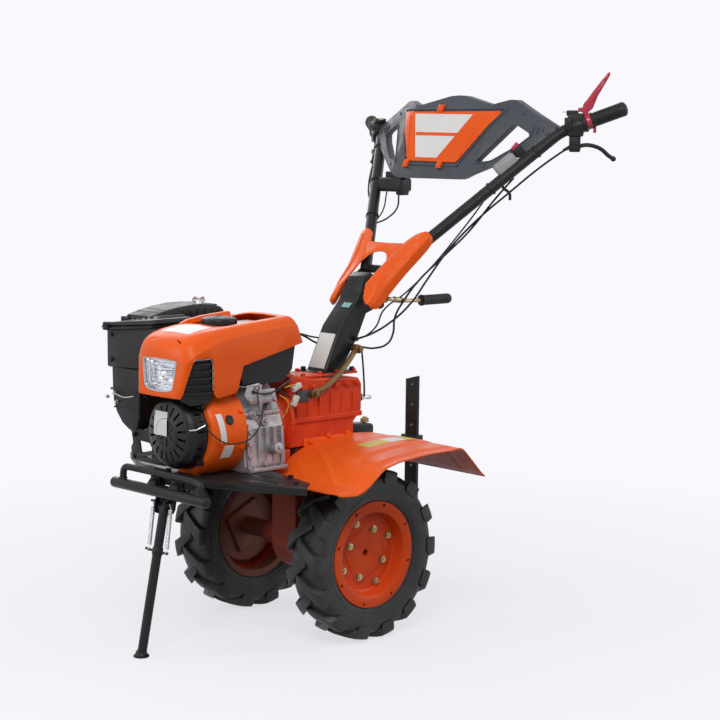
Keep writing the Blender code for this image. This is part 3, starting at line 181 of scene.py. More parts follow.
class Finish:
    """A material under construction."""

    def __init__(self, name, shine=0.5, metal=0.0, specular=0.5, coat=0.0, coat_rough=0.1):
        self.made = bpy.data.materials.new(name)
        self.made.use_nodes = True
        self.nodes, self.links = self.made.node_tree.nodes, self.made.node_tree.links
        self.shader = self.nodes["Principled BSDF"]
        for socket, value in (("Roughness", shine), ("Metallic", metal),
                ("Specular IOR Level", specular), ("Coat Weight", coat),
                ("Coat Roughness", coat_rough)):
            self.shader.inputs[socket].default_value = value
        self.where = self.node("TexCoord", "Object")

    def node(self, kind, output=0, sockets=None, **settings):
        """A node whose sockets hold values or other nodes' outputs; gives one of its outputs."""
        made = self.nodes.new(f"ShaderNode{kind}")
        for setting, value in settings.items():
            setattr(made, setting, value)
        for socket, value in (sockets or {}).items():
            if isinstance(value, bpy.types.NodeSocket):
                self.links.new(value, made.inputs[socket])
            else:
                made.inputs[socket].default_value = value
        return made.outputs[output]

    def noise(self, scale, detail=3.0, rough=0.5, stretch=None):
        place = self.where
        if stretch is not None:
            place = self.node("Mapping", 0, {"Scale": stretch, "Vector": place})
        return self.node("TexNoise", "Fac", {"Scale": scale, "Detail": detail,
            "Roughness": rough, "Vector": place})

    def cells(self, scale):
        return self.node("TexVoronoi", "Distance", {"Scale": scale, "Vector": self.where})

    def ranged(self, value, low, high, to_low=0.0, to_high=1.0):
        return self.node("MapRange", "Result", {"From Min": low, "From Max": high,
            "To Min": to_low, "To Max": to_high, "Value": value})

    def along(self, axis, vector=None):
        """One coordinate of a vector, or of the way a face looks."""
        if vector is None:
            vector = self.node("NewGeometry", "Normal")
        return self.node("SeparateXYZ", axis, {0: vector})

    def inner_shade_mask(self):
        """The mask of painted shade on a wheel's inner side: faces turned to the machine's middle,
        and the barrel.
        """
        across = self.along("Y", self.where)
        turned = self.ranged(self.times(self.along("Y"), across), -0.03, 0.0, 1.0, 0.0)
        away = self.node("Math", 0, {0: across}, operation="ABSOLUTE")
        barrel = self.ranged(away, 0.228, 0.234, 1.0, 0.0)
        return self.node("Math", 0, {0: turned, 1: barrel}, operation="MAXIMUM")

    def times(self, a, b):
        return self.node("Math", 0, {0: a, 1: b}, operation="MULTIPLY")

    def blend(self, share, first, second):
        """A colour between two; each is a colour or another node's output."""
        first, second = ((*tone, 1.0) if isinstance(tone, tuple) else tone
            for tone in (first, second))
        return self.node("Mix", 2, {"Factor": share, 6: first, 7: second}, data_type="RGBA")

    def dusted(self, tone, dust, amount, slope, scale, detail, rough, low, high):
        """Pale dust in patches on what looks up."""
        settled = self.times(self.ranged(self.along("Z"), slope, 1.0),
            self.ranged(self.noise(scale, detail, rough), low, high))
        return self.blend(self.times(settled, amount), tone, dust)

    def done(self, tone, gloss, low, high, relief=None, depth=0.0, start=0.3, end=0.75):
        """Joins the colour, the roughness from low to high, and the relief to the shader."""
        self.links.new(tone, self.shader.inputs["Base Color"])
        self.links.new(self.ranged(gloss, start, end, low, high), self.shader.inputs["Roughness"])
        if relief is not None:
            bump = self.node("Bump", 0, {"Distance": depth, "Strength": 1.0, "Height": relief})
            self.links.new(bump, self.shader.inputs["Normal"])
        return self.made


def sheet_paint(name, colour, dark, shine=0.3, coat=0.0, dust=(0.45, 0.3, 0.2), specular=0.18,
        inside=None):
    """Sprayed gloss paint on sheet metal: slow tone drift, orange peel and faint dust; inside is
    painted shade for a wheel's inner side.
    """
    made = Finish(name, shine, specular=specular, coat=coat, coat_rough=0.12)
    tone = made.blend(made.ranged(made.noise(5.0, 4.0), 0.35, 0.7), colour, dark)
    tone = made.dusted(tone, dust, 0.1, 0.3, 38.0, 6.0, 0.65, 0.52, 0.8)
    scuffs = made.ranged(made.noise(60.0, 8.0, 0.7, (1.0, 1.0, 0.15)), 0.66, 0.74)
    tone = made.blend(made.times(scuffs, 0.12), tone, dust)
    # painted shade: the wheel's inner side and barrel take the darker inside colour
    if inside is not None:
        tone = made.blend(made.inner_shade_mask(), tone, inside)
    return made.done(tone, made.noise(22.0, 5.0), shine - 0.05, shine + 0.14,
        made.noise(420.0, 2.0), 0.00006)


def cast_finish(name, colour, dark, shine=0.5, metal=0.0, specular=0.4):
    """A sand casting: blotches, dark pores and a coarse grain."""
    made = Finish(name, shine, metal=metal, specular=specular)
    tone = made.blend(made.ranged(made.noise(14.0, 6.0, 0.6), 0.35, 0.7), colour, dark)
    tone = made.blend(made.ranged(made.cells(900.0), 0.1, 0.35), dark, tone)
    return made.done(tone, made.noise(45.0, 4.0), shine - 0.1, shine + 0.15,
        made.noise(520.0, 3.0, 0.6), 0.00025)


def moulded(name, colour, light, shine=0.42, grain=0.00006, specular=0.4):
    """Moulded plastic: fine leather-like grain, handling shine and pale dust on top."""
    made = Finish(name, shine, specular=specular)
    drift = made.ranged(made.noise(9.0, 5.0), 0.35, 0.75)
    tone = made.blend(made.times(drift, 0.6), colour, light)
    tone = made.dusted(tone, (0.3, 0.28, 0.25), 0.12, 0.4, 55.0, 7.0, 0.7, 0.5, 0.78)
    return made.done(tone, made.noise(28.0, 5.0), shine - 0.08, shine + 0.12,
        made.cells(1400.0), grain)


def bright_metal(name, colour, dark, shine=0.28):
    made = Finish(name, shine, metal=1.0)
    tone = made.blend(made.ranged(made.noise(40.0, 6.0, 0.65), 0.35, 0.72), colour, dark)
    even = (1.0, 1.0, 1.0)
    return made.done(tone, made.noise(120.0, 4.0, 0.6, even), shine - 0.08, shine + 0.18,
        made.noise(700.0, 2.0, 0.5, even), 0.00004, end=0.7)


def tyre_finish():
    made = Finish("tyre_rubber_worn", 0.5, specular=0.4)
    tone = made.blend(made.ranged(made.noise(16.0, 6.0, 0.6), 0.3, 0.72), (0.01, 0.01, 0.011),
        (0.022, 0.022, 0.022))
    dust = made.ranged(made.noise(70.0, 8.0, 0.72), 0.56, 0.8)
    tone = made.blend(made.times(dust, 0.3), tone, (0.085, 0.08, 0.07))
    return made.done(tone, made.noise(30.0, 5.0), 0.4, 0.66, made.noise(600.0, 3.0, 0.6), 0.00018)


def clear_lens():
    """Clear moulding that lets the lamp show: mostly see-through, with a faint haze."""
    made = Finish("clear_lamp_lens", 0.06, specular=0.5)
    made.shader.inputs["Transmission Weight"].default_value = 1.0
    made.shader.inputs["IOR"].default_value = 1.45
    haze = made.ranged(made.noise(30.0, 3.0), 0.3, 0.7)
    return made.done(made.blend(haze, (0.93, 0.95, 0.97), (0.98, 0.99, 1.0)),
        made.noise(60.0, 4.0), 0.03, 0.14)


FINISHES = {
    "orange": sheet_paint("gloss_orange_sheet", (0.84, 0.118, 0.01), (0.78, 0.098, 0.009)),
    # the rim's inside colour is painted shade on the wheels' inner sides and barrels
    "rim": sheet_paint("rim_orange_red_painted_shade", (0.78, 0.084, 0.011), (0.7, 0.068, 0.009),
        inside=(0.3, 0.105, 0.07)),
    "casting": cast_finish("orange_red_casting", (0.7, 0.062, 0.012), (0.52, 0.038, 0.009), 0.42,
        specular=0.2),
    # painted shade: the axle case is darkened and dulled for its place in shade under the deck
    "axle": cast_finish("axle_casting_painted_shade", (0.36, 0.068, 0.04), (0.25, 0.048, 0.03),
        specular=0.15),
    "aluminium": cast_finish("die_cast_aluminium", (0.42, 0.4, 0.41), (0.24, 0.225, 0.235), 0.46,
        0.65),
    "black": sheet_paint("satin_black_paint", (0.01, 0.01, 0.01), (0.015, 0.015, 0.015),
        dust=(0.08, 0.075, 0.07), specular=0.22),
    "plastic": moulded("black_moulding", (0.01, 0.01, 0.011), (0.017, 0.017, 0.019), 0.4,
        specular=0.24),
    "slate": moulded("slate_moulding", (0.04, 0.046, 0.058), (0.062, 0.07, 0.086), 0.45),
    "rubber": moulded("grip_rubber_black", (0.01, 0.01, 0.01), (0.02, 0.02, 0.02), 0.55, 0.0001,
        0.3),
    "tyre": tyre_finish(),
    "zinc": bright_metal("yellow_zinc", (0.44, 0.37, 0.22), (0.27, 0.2, 0.09), 0.34),
    "bronze": cast_finish("brown_gold_casting", (0.22, 0.13, 0.052), (0.11, 0.06, 0.022), 0.4, 0.6),
    "teal": moulded("bare_teal_tag", (0.2, 0.42, 0.4), (0.16, 0.36, 0.34), 0.35),
    "grey": moulded("pale_grey_moulding", (0.36, 0.37, 0.38), (0.28, 0.29, 0.3), 0.4),
    "steel": bright_metal("bright_steel", (0.62, 0.62, 0.64), (0.4, 0.4, 0.42), 0.26),
    "red": sheet_paint("lever_red", (0.5, 0.022, 0.06), (0.42, 0.016, 0.045), 0.22, 0.6),
    "chrome": bright_metal("lamp_chrome", (0.86, 0.87, 0.9), (0.66, 0.67, 0.7), 0.1),
    "lens": clear_lens(),
    "frosted": moulded("lamp_rim_grey", (0.5, 0.51, 0.54), (0.4, 0.41, 0.44), 0.22),
    "label": moulded("bare_label", (0.74, 0.735, 0.72), (0.66, 0.655, 0.64), 0.4),
    "white": moulded("white_nylon", (0.62, 0.61, 0.58), (0.5, 0.49, 0.46), 0.45),
    "yellow": moulded("yellow_lead_skin", (0.6, 0.46, 0.03), (0.48, 0.36, 0.03), 0.4),
    "red_lead": moulded("red_lead_skin", (0.52, 0.02, 0.018), (0.4, 0.016, 0.016), 0.4)}


def by_name(groups):
    """Turns a table of names in groups round: each name gets its group."""
    return {name: group for group, names in groups.items() for name in names.split()}


NODE_FINISH = by_name({"casting": "gearbox_case clutch_housing", "axle": "axle_case",
    "aluminium": "crankcase cylinder valve_cover carburettor",
    "orange": "blower_housing engine_hood left_fender right_fender handle_cover dash_panel",
    "black": "recoil_starter fuel_tank muffler front_frame deck_plate front_bumper stand_bracket "
    "stand_leg handle_column hitch_socket depth_bar handle_fork left_steering_lever "
    "right_steering_lever",
    "plastic": "hood_vents fuel_cap air_cleaner_box air_cleaner_lid clutch_cable left_clamp "
    "right_clamp",
    "steel": "headlight stand_spring_left stand_spring_right switch_box",
    "zinc": "shift_arm gear_lever", "rubber": "gear_lever_grip left_grip right_grip",
    "tyre": "left_tyre right_tyre", "rim": "left_rim left_hub right_rim right_hub",
    "slate": "dash_frame", "red": "clutch_lever"})

# ---------------------------------------------------------------- bench


def choose(*objects):
    bpy.ops.object.select_all(action="DESELECT")
    for obj in objects:
        obj.select_set(True)
    bpy.context.view_layer.objects.active = objects[0]
    return objects[0]


def added(name, primitive, **settings):
    """Adds a primitive at its size and place, which then go into its mesh."""
    bpy.ops.object.select_all(action="DESELECT")
    primitive(**settings)
    made = bpy.context.object
    made.name = made.data.name = name
    bpy.ops.object.transform_apply(location=True, rotation=True, scale=True)
    return made


def block(name, low, high):
    return added(name, bpy.ops.mesh.primitive_cube_add, size=1.0,
        location=[(a + b) / 2 for a, b in zip(low, high)],
        scale=[b - a for a, b in zip(low, high)])


def bar(name, start, end, radius, sides=24, end_radius=None):
    """A round bar between two points, or a cone where its end has another radius."""
    start, end = Vector(start), Vector(end)
    held = {"vertices": sides, "depth": (end - start).length, "location": (start + end) / 2,
        "rotation": (end - start).to_track_quat("Z", "Y").to_euler()}
    if end_radius is None:
        return added(name, bpy.ops.mesh.primitive_cylinder_add, radius=radius, **held)
    return added(name, bpy.ops.mesh.primitive_cone_add, radius1=radius, radius2=end_radius, **held)


def ring(name, centre, axis, radius, thick, sides=40, round_sides=12):
    return added(name, bpy.ops.mesh.primitive_torus_add, major_radius=radius, minor_radius=thick,
        location=centre, rotation=AXES[axis].to_track_quat("Z", "Y").to_euler(),
        major_segments=sides, minor_segments=round_sides)


def linked(name, data):
    made = bpy.data.objects.new(name, data)
    bpy.context.scene.collection.objects.link(made)
    return made


def drawn(name, points, edges=(), faces=()):
    """A mesh drawn point by point, ready for the operators."""
    mesh = bpy.data.meshes.new(name)
    mesh.from_pydata([tuple(p) for p in points], edges, faces)
    return linked(name, mesh)


def pick(obj, test=lambda part: True, kind="FACE"):
    """Opens a piece with only those of its faces, edges or vertices chosen that pass the test."""
    choose(obj)
    bpy.ops.object.mode_set(mode="EDIT")
    bpy.ops.mesh.select_mode(type=kind)
    bpy.ops.mesh.select_all(action="DESELECT")
    bm = bmesh.from_edit_mesh(obj.data)
    for part in {"FACE": bm.faces, "EDGE": bm.edges, "VERT": bm.verts}[kind]:
        if test(part):
            part.select_set(True)
    bm.select_flush_mode()
    bmesh.update_edit_mesh(obj.data)


def close():
    bpy.ops.object.mode_set(mode="OBJECT")


def facing(direction, limit=0.9):
    """The test for faces that look one way."""
    aim = Vector(direction).normalized()
    return lambda face: face.normal.dot(aim) > limit


def reach(edge, axis):
    """How far an edge goes along an axis."""
    return abs(getattr(edge.verts[0].co, axis) - getattr(edge.verts[1].co, axis))


def bevelled(obj, test, width, segments=5):
    """Rounds the edges that pass the test."""
    pick(obj, test, "EDGE")
    bpy.ops.mesh.bevel(offset=width, segments=segments)
    close()
    return obj


def outward(obj):
    pick(obj, kind="VERT")
    bpy.ops.mesh.remove_doubles(threshold=MERGE)
    bpy.ops.mesh.normals_make_consistent(inside=False)
    close()
    return obj


def spun(name, profile, centre, axis, steps=48):
    """A (radius, along) profile spun round an axis."""
    centre, along = Vector(centre), AXES[axis]
    across = AXES["Z"] if axis != "Z" else AXES["X"]
    points = [centre + across * radius + along * reach for radius, reach in profile]
    made = drawn(name, points, [(i, i + 1) for i in range(len(points) - 1)])
    pick(made, kind="VERT")
    bpy.ops.mesh.spin(steps=steps, angle=math.tau, center=centre, axis=along)
    close()
    return outward(made)


def sheet_of(name, outline, axis, low, high):
    """A flat outline, given its thickness by one extrusion."""
    across, up, along = {"X": (1, 2, 0), "Y": (0, 2, 1), "Z": (0, 1, 2)}[axis]
    points = []
    for first, second in outline:
        place = [0.0, 0.0, 0.0]
        place[across], place[up], place[along] = first, second, low
        points.append(place)
    made = drawn(name, points, faces=[list(range(len(points)))])
    pick(made)
    bpy.ops.mesh.extrude_region_move(TRANSFORM_OT_translate={"value": AXES[axis] * (high - low)})
    close()
    return outward(made)


def skinned(name, rings, caps=True):
    """A skin through rings of as many points each."""
    count, last = len(rings[0]), (len(rings) - 1) * len(rings[0])
    faces = [(a + i, a + (i + 1) % count, a + count + (i + 1) % count, a + count + i)
        for a in range(0, last, count) for i in range(count)]
    if caps:
        faces += [tuple(range(count)), tuple(range(last, last + count))]
    return outward(drawn(name, [p for ring_points in rings for p in ring_points], faces=faces))


def bend(start, corner, end, steps):
    """Points of a soft bend that leaves start towards the corner and ends at end."""
    return [start * (1 - t) ** 2 + corner * 2 * t * (1 - t) + end * t * t
        for t in (k / steps for k in range(steps + 1))]


def rounded_path(points, radius, steps=6):
    """The points with each inner corner turned to a bend."""
    points = [Vector(p) for p in points]
    path = [points[0]]
    for before, corner, after in zip(points, points[1:], points[2:]):
        to_before, to_after = before - corner, after - corner
        away = min(radius, to_before.length * 0.48, to_after.length * 0.48)
        path += bend(corner + to_before.normalized() * away, corner,
            corner + to_after.normalized() * away, steps)
    return path + [points[-1]]


def wire(name, points, radius, flowing=True, sides=3):
    """A round section run along points: a flowing line, or one as straight as it is given."""
    curve = bpy.data.curves.new(name, "CURVE")
    for setting, value in (("dimensions", "3D"), ("bevel_depth", radius),
            ("bevel_resolution", sides), ("resolution_u", 8), ("use_fill_caps", True)):
        setattr(curve, setting, value)
    spline = curve.splines.new("BEZIER" if flowing else "POLY")
    knots = spline.bezier_points if flowing else spline.points
    knots.add(len(points) - 1)
    for knot, point in zip(knots, points):
        if flowing:
            knot.co = point
            knot.handle_left_type = knot.handle_right_type = "AUTO"
        else:
            knot.co = (*point, 1.0)
    choose(linked(name, curve))
    bpy.ops.object.convert(target="MESH")
    return outward(bpy.context.object)


def modified(obj, kind, **settings):
    choose(obj)
    made = obj.modifiers.new(kind.lower(), kind)
    for setting, value in settings.items():
        setattr(made, setting, value)
    bpy.ops.object.modifier_apply(modifier=made.name)
    return obj


def eased(obj, width, segments=2, angle=32.0):
    """Rounds every edge sharper than the angle."""
    return modified(obj, "BEVEL", width=width, segments=segments, limit_method="ANGLE",
        angle_limit=math.radians(angle), harden_normals=False)


def soft_block(name, low, high, width, segments=2, angle=32.0):
    return eased(block(name, low, high), width, segments, angle)


def soft_bar(name, start, end, radius, sides, width, segments=2):
    return eased(bar(name, start, end, radius, sides), width, segments)


def cut(obj, *cutters):
    for cutter in cutters:
        modified(obj, "BOOLEAN", object=cutter, operation="DIFFERENCE", solver="EXACT")
        bpy.data.objects.remove(cutter)
    return obj


def joined(name, parts):
    made = choose(*parts)
    if len(parts) > 1:
        bpy.ops.object.join()
    made.name = made.data.name = name
    return made


def moved(obj, place):
    """Moves a mesh by a matrix, or by a vector; a mirrored one keeps its faces outwards."""
    place = place if isinstance(place, Matrix) else Matrix.Translation(place)
    obj.data.transform(place)
    if place.determinant() < 0:
        obj.data.flip_normals()
    return obj


def copied(obj, name, place):
    """Another of the same piece, with its own mesh."""
    made = linked(name, obj.data.copy())
    made.data.name = name
    return moved(made, place)


def turned(axis, degrees):
    return Matrix.Rotation(math.radians(degrees), 4, axis)


def about(centre, axis, degrees):
    place = Matrix.Translation(Vector(centre))
    return place @ turned(axis, degrees) @ place.inverted()


def aimed(place, direction, axis="Z", up="Y"):
    """Turns an axis of a drawing to a direction, at a place."""
    turn = Vector(direction).to_track_quat(axis, up).to_matrix().to_4x4()
    return Matrix.Translation(place) @ turn


def settle(obj, finish, *nodes, body="chassis", smooth=35, bend_to=None):
    """Ends a piece: its place, finish and shading, its body, and the solids it stands for.

    When bend_to is given, the piece joins no body and keeps its place baked in; the body and places
    in bend_to are not used.
    """
    choose(obj)
    bpy.ops.object.shade_smooth_by_angle(angle=math.radians(smooth))
    obj.data.transform(Matrix.Translation(SHIFT))
    obj.data.materials.clear()
    obj.data.materials.append(FINISHES[finish])
    if bend_to is None:
        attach(obj, body)
    else:
        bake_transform(obj)
    if nodes:
        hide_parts(*nodes)


def settle_pair(obj, finish, smooth=35, node=None):
    """Settles a left piece and its mirrored twin on the right."""
    twin = copied(obj, obj.name.replace("left", "right"), ACROSS)
    for word, made in (("left", obj), ("right", twin)):
        settle(made, finish, *([f"{word}_{node}"] if node else []), smooth=smooth)


def finished(name, parts, finish, *nodes, **how):
    """Joins the parts of a piece and ends it."""
    settle(joined(name, parts), finish, *nodes, **how)


def hex_bolt(place, axis, size, head, washer=True):
    """A hexagon head with its chamfer, on a washer; size is its width across the flats."""
    place, out = Vector(place), Vector(axis).normalized()
    parts = []
    if washer:
        parts.append(bar("washer", place - out * 0.0005, place + out * 0.0012, size * 0.62, 16))
        place = place + out * 0.0012
    cap = bar("head", place - out * 0.0003, place + out * head, size * 0.577, 6)
    pick(cap, facing(out))
    bpy.ops.mesh.inset(thickness=size * 0.07, depth=0.0)
    bpy.ops.transform.translate(value=out * (head * 0.1))
    bpy.ops.mesh.inset(thickness=size * 0.1, depth=0.0)
    close()
    return joined("bolt", parts + [cap])


def bolts(places, axis, size, head):
    return [hex_bolt(place, axis, size, head) for place in places]


# ---------------------------------------------------------------- wheels

LUG_COUNT = 14
LUG_LAYOUT = ((-0.02, -0.024, 0.002, 0.227), (-0.005, -0.013, 0.015, 0.2298),
    (0.02, 0.003, 0.036, 0.2298), (0.04, 0.016, 0.058, 0.2292), (0.0545, 0.024, 0.073, 0.2262))
TYRE_SECTION = ((0.1275, 0.04), (0.144, 0.0402), (0.147, 0.044), (0.149, 0.0445), (0.15, 0.0475),
    (0.1535, 0.0495), (0.156, 0.0496), (0.157, 0.0515), (0.16, 0.0524), (0.175, 0.0548),
    (0.19, 0.0552), (0.202, 0.0535), (0.2095, 0.048), (0.2135, 0.036), (0.2155, 0.015),
    (0.2158, 0.0))
RIM_SECTION = ((0.127, 0.006), (0.127, 0.04), (0.1418, 0.0405), (0.1428, 0.042), (0.142, 0.0436),
    (0.133, 0.044), (0.1185, 0.0425), (0.115, 0.0408), (0.1085, 0.022), (0.1055, 0.0125),
    (0.101, 0.0092), (0.01, 0.009))
BARREL_SECTION = ((0.127, -0.04), (0.1418, -0.0405), (0.1428, -0.042), (0.1418, -0.0434),
    (0.1262, -0.043), (0.1235, -0.04), (0.1235, 0.007), (0.127, 0.007), (0.127, -0.04))
PLATE_HALF = 0.066
PLATE_TURN = 26.0
INNER_BOLTS = (0.067, 67.0)        # radius, and degrees of the first
OUTER_BOLTS = (0.0905, 24.0)
RIM_HOLES = (0.1345, 30.0)


def wheel_centre(which):
    low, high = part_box(f"{which}_rim")
    return (low - SHIFT + (high - SHIFT)) / 2


def round_the_axle(radius, degrees, along):
    """A place on the wheel: degrees run from the rear, over the top."""
    turn = math.radians(degrees)
    return Vector((-radius * math.cos(turn), along, radius * math.sin(turn)))


def tread_lug(lean):
    """One bar of the tread, from past the middle line out to the shoulder and down its side."""
    rings = []
    for across, first, last, top, base in (*((*row, 0.205) for row in LUG_LAYOUT),
            (0.0583, 0.027, 0.073, 0.215, 0.2), (0.0575, 0.032, 0.07, 0.194, 0.1915)):
        middle = (first + last) / 2
        section = ((first - 0.004, base), (first, top), (middle, top), (last, top),
            (last + 0.004, base), (middle, base))
        rings.append([(radius * math.sin(along / 0.23), lean * across,
            radius * math.cos(along / 0.23)) for along, radius in section])
    return eased(skinned("tread_lug", rings), 0.0032, 3, 38.0)


def build_tyre(which):
    section = [(radius, -along) for radius, along in TYRE_SECTION] + list(TYRE_SECTION[-2::-1])
    parts = [spun("carcass", section, (0, 0, 0), "Y", 72)]
    pitch = 360.0 / LUG_COUNT
    for lean in (1, -1):
        lug = tread_lug(lean)
        parts += [copied(lug, "lug", turned("Y", k * pitch + (0.0 if lean > 0 else pitch / 2)))
            for k in range(LUG_COUNT)]
        bpy.data.objects.remove(lug)
    parts += [ring("sidewall_line", (0, lean * along, 0), "Y", radius, 0.0009, 72, 6)
        for radius, along in ((0.1655, 0.0532), (0.1845, 0.0543)) for lean in (1, -1)]
    settle(moved(joined(f"{which}_tyre_tread", parts), wheel_centre(which)), "tyre",
        f"{which}_tyre", body=f"{which}_wheel", smooth=38)


def build_rim(side, which):
    """The pressed wheel: a flanged ring with its holes, a dish, and the hub's square seat."""
    shell = spun("shell", [(radius, side * along) for radius, along in RIM_SECTION], (0, 0, 0),
        "Y", 72)
    modified(shell, "SOLIDIFY", thickness=0.0028, offset=0.0)
    drills = []
    for k in range(8):
        middle = round_the_axle(RIM_HOLES[0], RIM_HOLES[1] + 45.0 * k, 0)
        middle += Vector((0, side * 0.0437, 0))
        away = Vector((0, 0.012, 0))
        drills.append(bar("drill", middle - away, middle + away, 0.0046, 14))
    cut(shell, joined("drills", drills))
    barrel = spun("barrel", [(radius, side * along) for radius, along in BARREL_SECTION],
        (0, 0, 0), "Y", 72)
    seat = block("seat", (-PLATE_HALF, 0.0085, -PLATE_HALF), (PLATE_HALF, 0.0122, PLATE_HALF))
    bevelled(seat, lambda edge: reach(edge, "y") > 0.003, 0.016)
    eased(cut(seat, bar("bore", (0, -0.02, 0), (0, 0.03, 0), 0.0095)), 0.0008)
    moved(seat, turned("Y", PLATE_TURN))
    if side < 0:
        moved(seat, ACROSS)
    settle(moved(joined(f"{which}_disc", [shell, barrel, seat]), wheel_centre(which)), "rim",
        f"{which}_rim", body=f"{which}_wheel", smooth=32)


def build_wheel_bolts(side, which):
    parts = []
    out = Vector((0, side, 0))
    for (radius, start), seat in ((INNER_BOLTS, 0.0122), (OUTER_BOLTS, 0.0104)):
        for k in range(4):
            place = round_the_axle(radius, start + 90.0 * k, side * seat)
            tail = place + out * 0.0065
            parts += [hex_bolt(place, out, 0.0165, 0.0065),
                bar("stud", tail, tail + out * 0.0045, 0.0046, 14)]
    settle(moved(joined(f"{which}_wheel_bolts", parts), wheel_centre(which)), "zinc",
        body=f"{which}_wheel")


def build_wheels():
    for side, which in SIDES:
        build_tyre(which)
        build_rim(side, which)
        build_wheel_bolts(side, which)


# ---------------------------------------------------------------- hood

HOOD_REAR, HOOD_NOSE = 0.098, 0.502
HOOD_STATIONS = (       # along the machine, half width, top, reach of the shoulder
    (0.0985, 0.0962, 0.853, 0.019), (0.0993, 0.0984, 0.8572, 0.0212),
    (0.102, 0.0998, 0.8602, 0.0228), (0.108, 0.1005, 0.8615, 0.0234),
    (0.13, 0.1015, 0.8612, 0.0235), (0.2, 0.104, 0.8565, 0.024), (0.27, 0.1062, 0.8515, 0.025),
    (0.33, 0.1085, 0.8465, 0.0265), (0.37, 0.11, 0.843, 0.029), (0.405, 0.1115, 0.839, 0.033),
    (0.435, 0.1128, 0.8345, 0.037), (0.458, 0.1135, 0.8285, 0.039),
    (0.475, 0.1138, 0.8215, 0.0395), (0.487, 0.113, 0.814, 0.038), (0.495, 0.111, 0.805, 0.036),
    (0.4995, 0.1075, 0.7955, 0.033), (0.5015, 0.103, 0.786, 0.029), (0.502, 0.096, 0.776, 0.024))
SHOULDER = ((0.0, -1.0), (-0.012, -0.955), (-0.045, -0.905), (-0.27, -0.49), (-0.47, -0.23),
    (-0.72, -0.07), (-1.05, 0.0))
HOOD_ROWS = (0.6, 0.625, 0.665, 0.705, 0.742, 0.77)
HOOD_BELOW = ((-0.06, 0.55), (-0.06, 0.798), (0.098, 0.79), (0.312, 0.744), (0.33, 0.686),
    (0.338, 0.676), (0.402, 0.668), (0.41, 0.678), (0.414, 0.766), (0.421, 0.7735), (0.473, 0.7735),
    (0.4785, 0.769), (0.4965, 0.685), (0.5015, 0.672), (0.56, 0.67), (0.56, 0.55))
NOTCH_EDGE = HOOD_BELOW[7:14]
NOSE_CUTS = (-0.084, -0.066, -0.044, -0.022, 0.0, 0.022, 0.044, 0.066, 0.084)
HOOD_WALL = 0.0028
CAP_PLACE = (0.305, 0.0)
LAMP_OUTLINE = ((-0.06, 0.691), (-0.034, 0.684), (0.0, 0.682), (0.034, 0.684), (0.06, 0.691),
    (0.07, 0.766), (0.035, 0.769), (0.0, 0.7695), (-0.035, 0.769), (-0.07, 0.766))
LAMP_MIDDLE = (0.0, 0.728)


def ramp(value, low, high):
    return min(1.0, max(0.0, (value - low) / (high - low)))


def between(stations, at):
    """A row of a table at a place between its rows."""
    for row, following in zip(stations, stations[1:]):
        if at <= following[0]:
            share = max(0.0, (at - row[0]) / (following[0] - row[0]))
            return [a + (b - a) * share for a, b in zip(row, following)]
    return list(stations[-1])


def grown(outline, share, middle):
    return [(middle[0] + (y - middle[0]) * share, middle[1] + (z - middle[1]) * share)
        for y, z in outline]


def nose_bow(point):
    """Bows the flat nose in plan, narrows its foot and leans its face; the rear edge slants."""
    x, y, z = point
    nose = ramp(x, 0.435, 0.5)
    fall = ramp(0.806 - z, 0.0, 0.13)
    side = min(1.0, abs(y) / 0.11) ** 2.2
    slant = 0.42 * (z - 0.795) * ramp(0.15 - x, 0.0, 0.045)
    return Vector((x + slant + nose * (0.01 * fall - (0.016 - 0.01 * fall) * side),
        y * (1.0 - 0.22 * fall * nose), z))


def on_side(x, z, out=0.0):
    """A place on the hood's near side wall, from its side view."""
    narrow = 1.0 - 0.22 * ramp(0.806 - z, 0.0, 0.13) * ramp(x, 0.435, 0.5)
    return Vector((x, between(HOOD_STATIONS, x)[1] * narrow + out, z))


def sliced(obj, levels, test=lambda face: True):
    """Divides a piece at levels across the machine, so that it can be bowed."""
    for level in levels:
        pick(obj, test)
        bpy.ops.mesh.bisect(plane_co=(0, level, 0), plane_no=(0, 1, 0))
        close()
    return obj


def hood_solid(name, inset):
    """A loft of arched sections with soft shoulders; its nose is closed by a grid, then bowed."""
    rings = []
    for x, half, top, away in HOOD_STATIONS:
        half, top = half - inset, top - inset
        place = HOOD_REAR + inset + (x - HOOD_REAR) * (HOOD_NOSE - HOOD_REAR - 2 * inset) / (
            HOOD_NOSE - HOOD_REAR)
        arch = [(half, z) for z in HOOD_ROWS if z < top - away - 0.004]
        arch += [(half, top - away - 0.002)] * (len(HOOD_ROWS) - len(arch))
        arch += [(half + away * a, top + away * b) for a, b in SHOULDER]
        arch += [(half * share * 0.62, top + 0.0022 * (1 - share)) for share in (0.7, 0.35, 0.0)]
        arch += [(-y, z) for y, z in reversed(arch[:-1])]
        rings.append([(place, y, z) for y, z in arch])
    body = skinned(name, rings, caps=False)
    front = HOOD_NOSE - inset - 0.0021
    # the open edge at the nose takes a grid, so that the nose can be bowed
    pick(body, lambda edge: edge.is_boundary and min(v.co.x for v in edge.verts) > front, "EDGE")
    bpy.ops.mesh.edge_face_add()
    bpy.ops.mesh.quads_convert_to_tris(quad_method="BEAUTY", ngon_method="BEAUTY")
    close()
    sliced(body, NOSE_CUTS, lambda face: min(v.co.x for v in face.verts) > front)
    for vertex in body.data.vertices:
        vertex.co = nose_bow(vertex.co)
    pick(body, lambda edge: edge.is_boundary, "EDGE")
    bpy.ops.mesh.fill()
    close()
    return outward(body)


def label_patch(name, across, along, place, steps=8):
    """A thin blank label: place puts each corner of its grid on the surface it sticks to."""
    points = [place(across[0] + (across[1] - across[0]) * i / steps,
        along[0] + (along[1] - along[0]) * j / steps)
        for i in range(steps + 1) for j in range(steps + 1)]
    corners = [i * (steps + 1) + j for i in range(steps) for j in range(steps)]
    faces = [(k, k + 1, k + steps + 2, k + steps + 1) for k in corners]
    return modified(drawn(name, points, faces=faces), "SOLIDIFY", thickness=0.0005, offset=0.0)


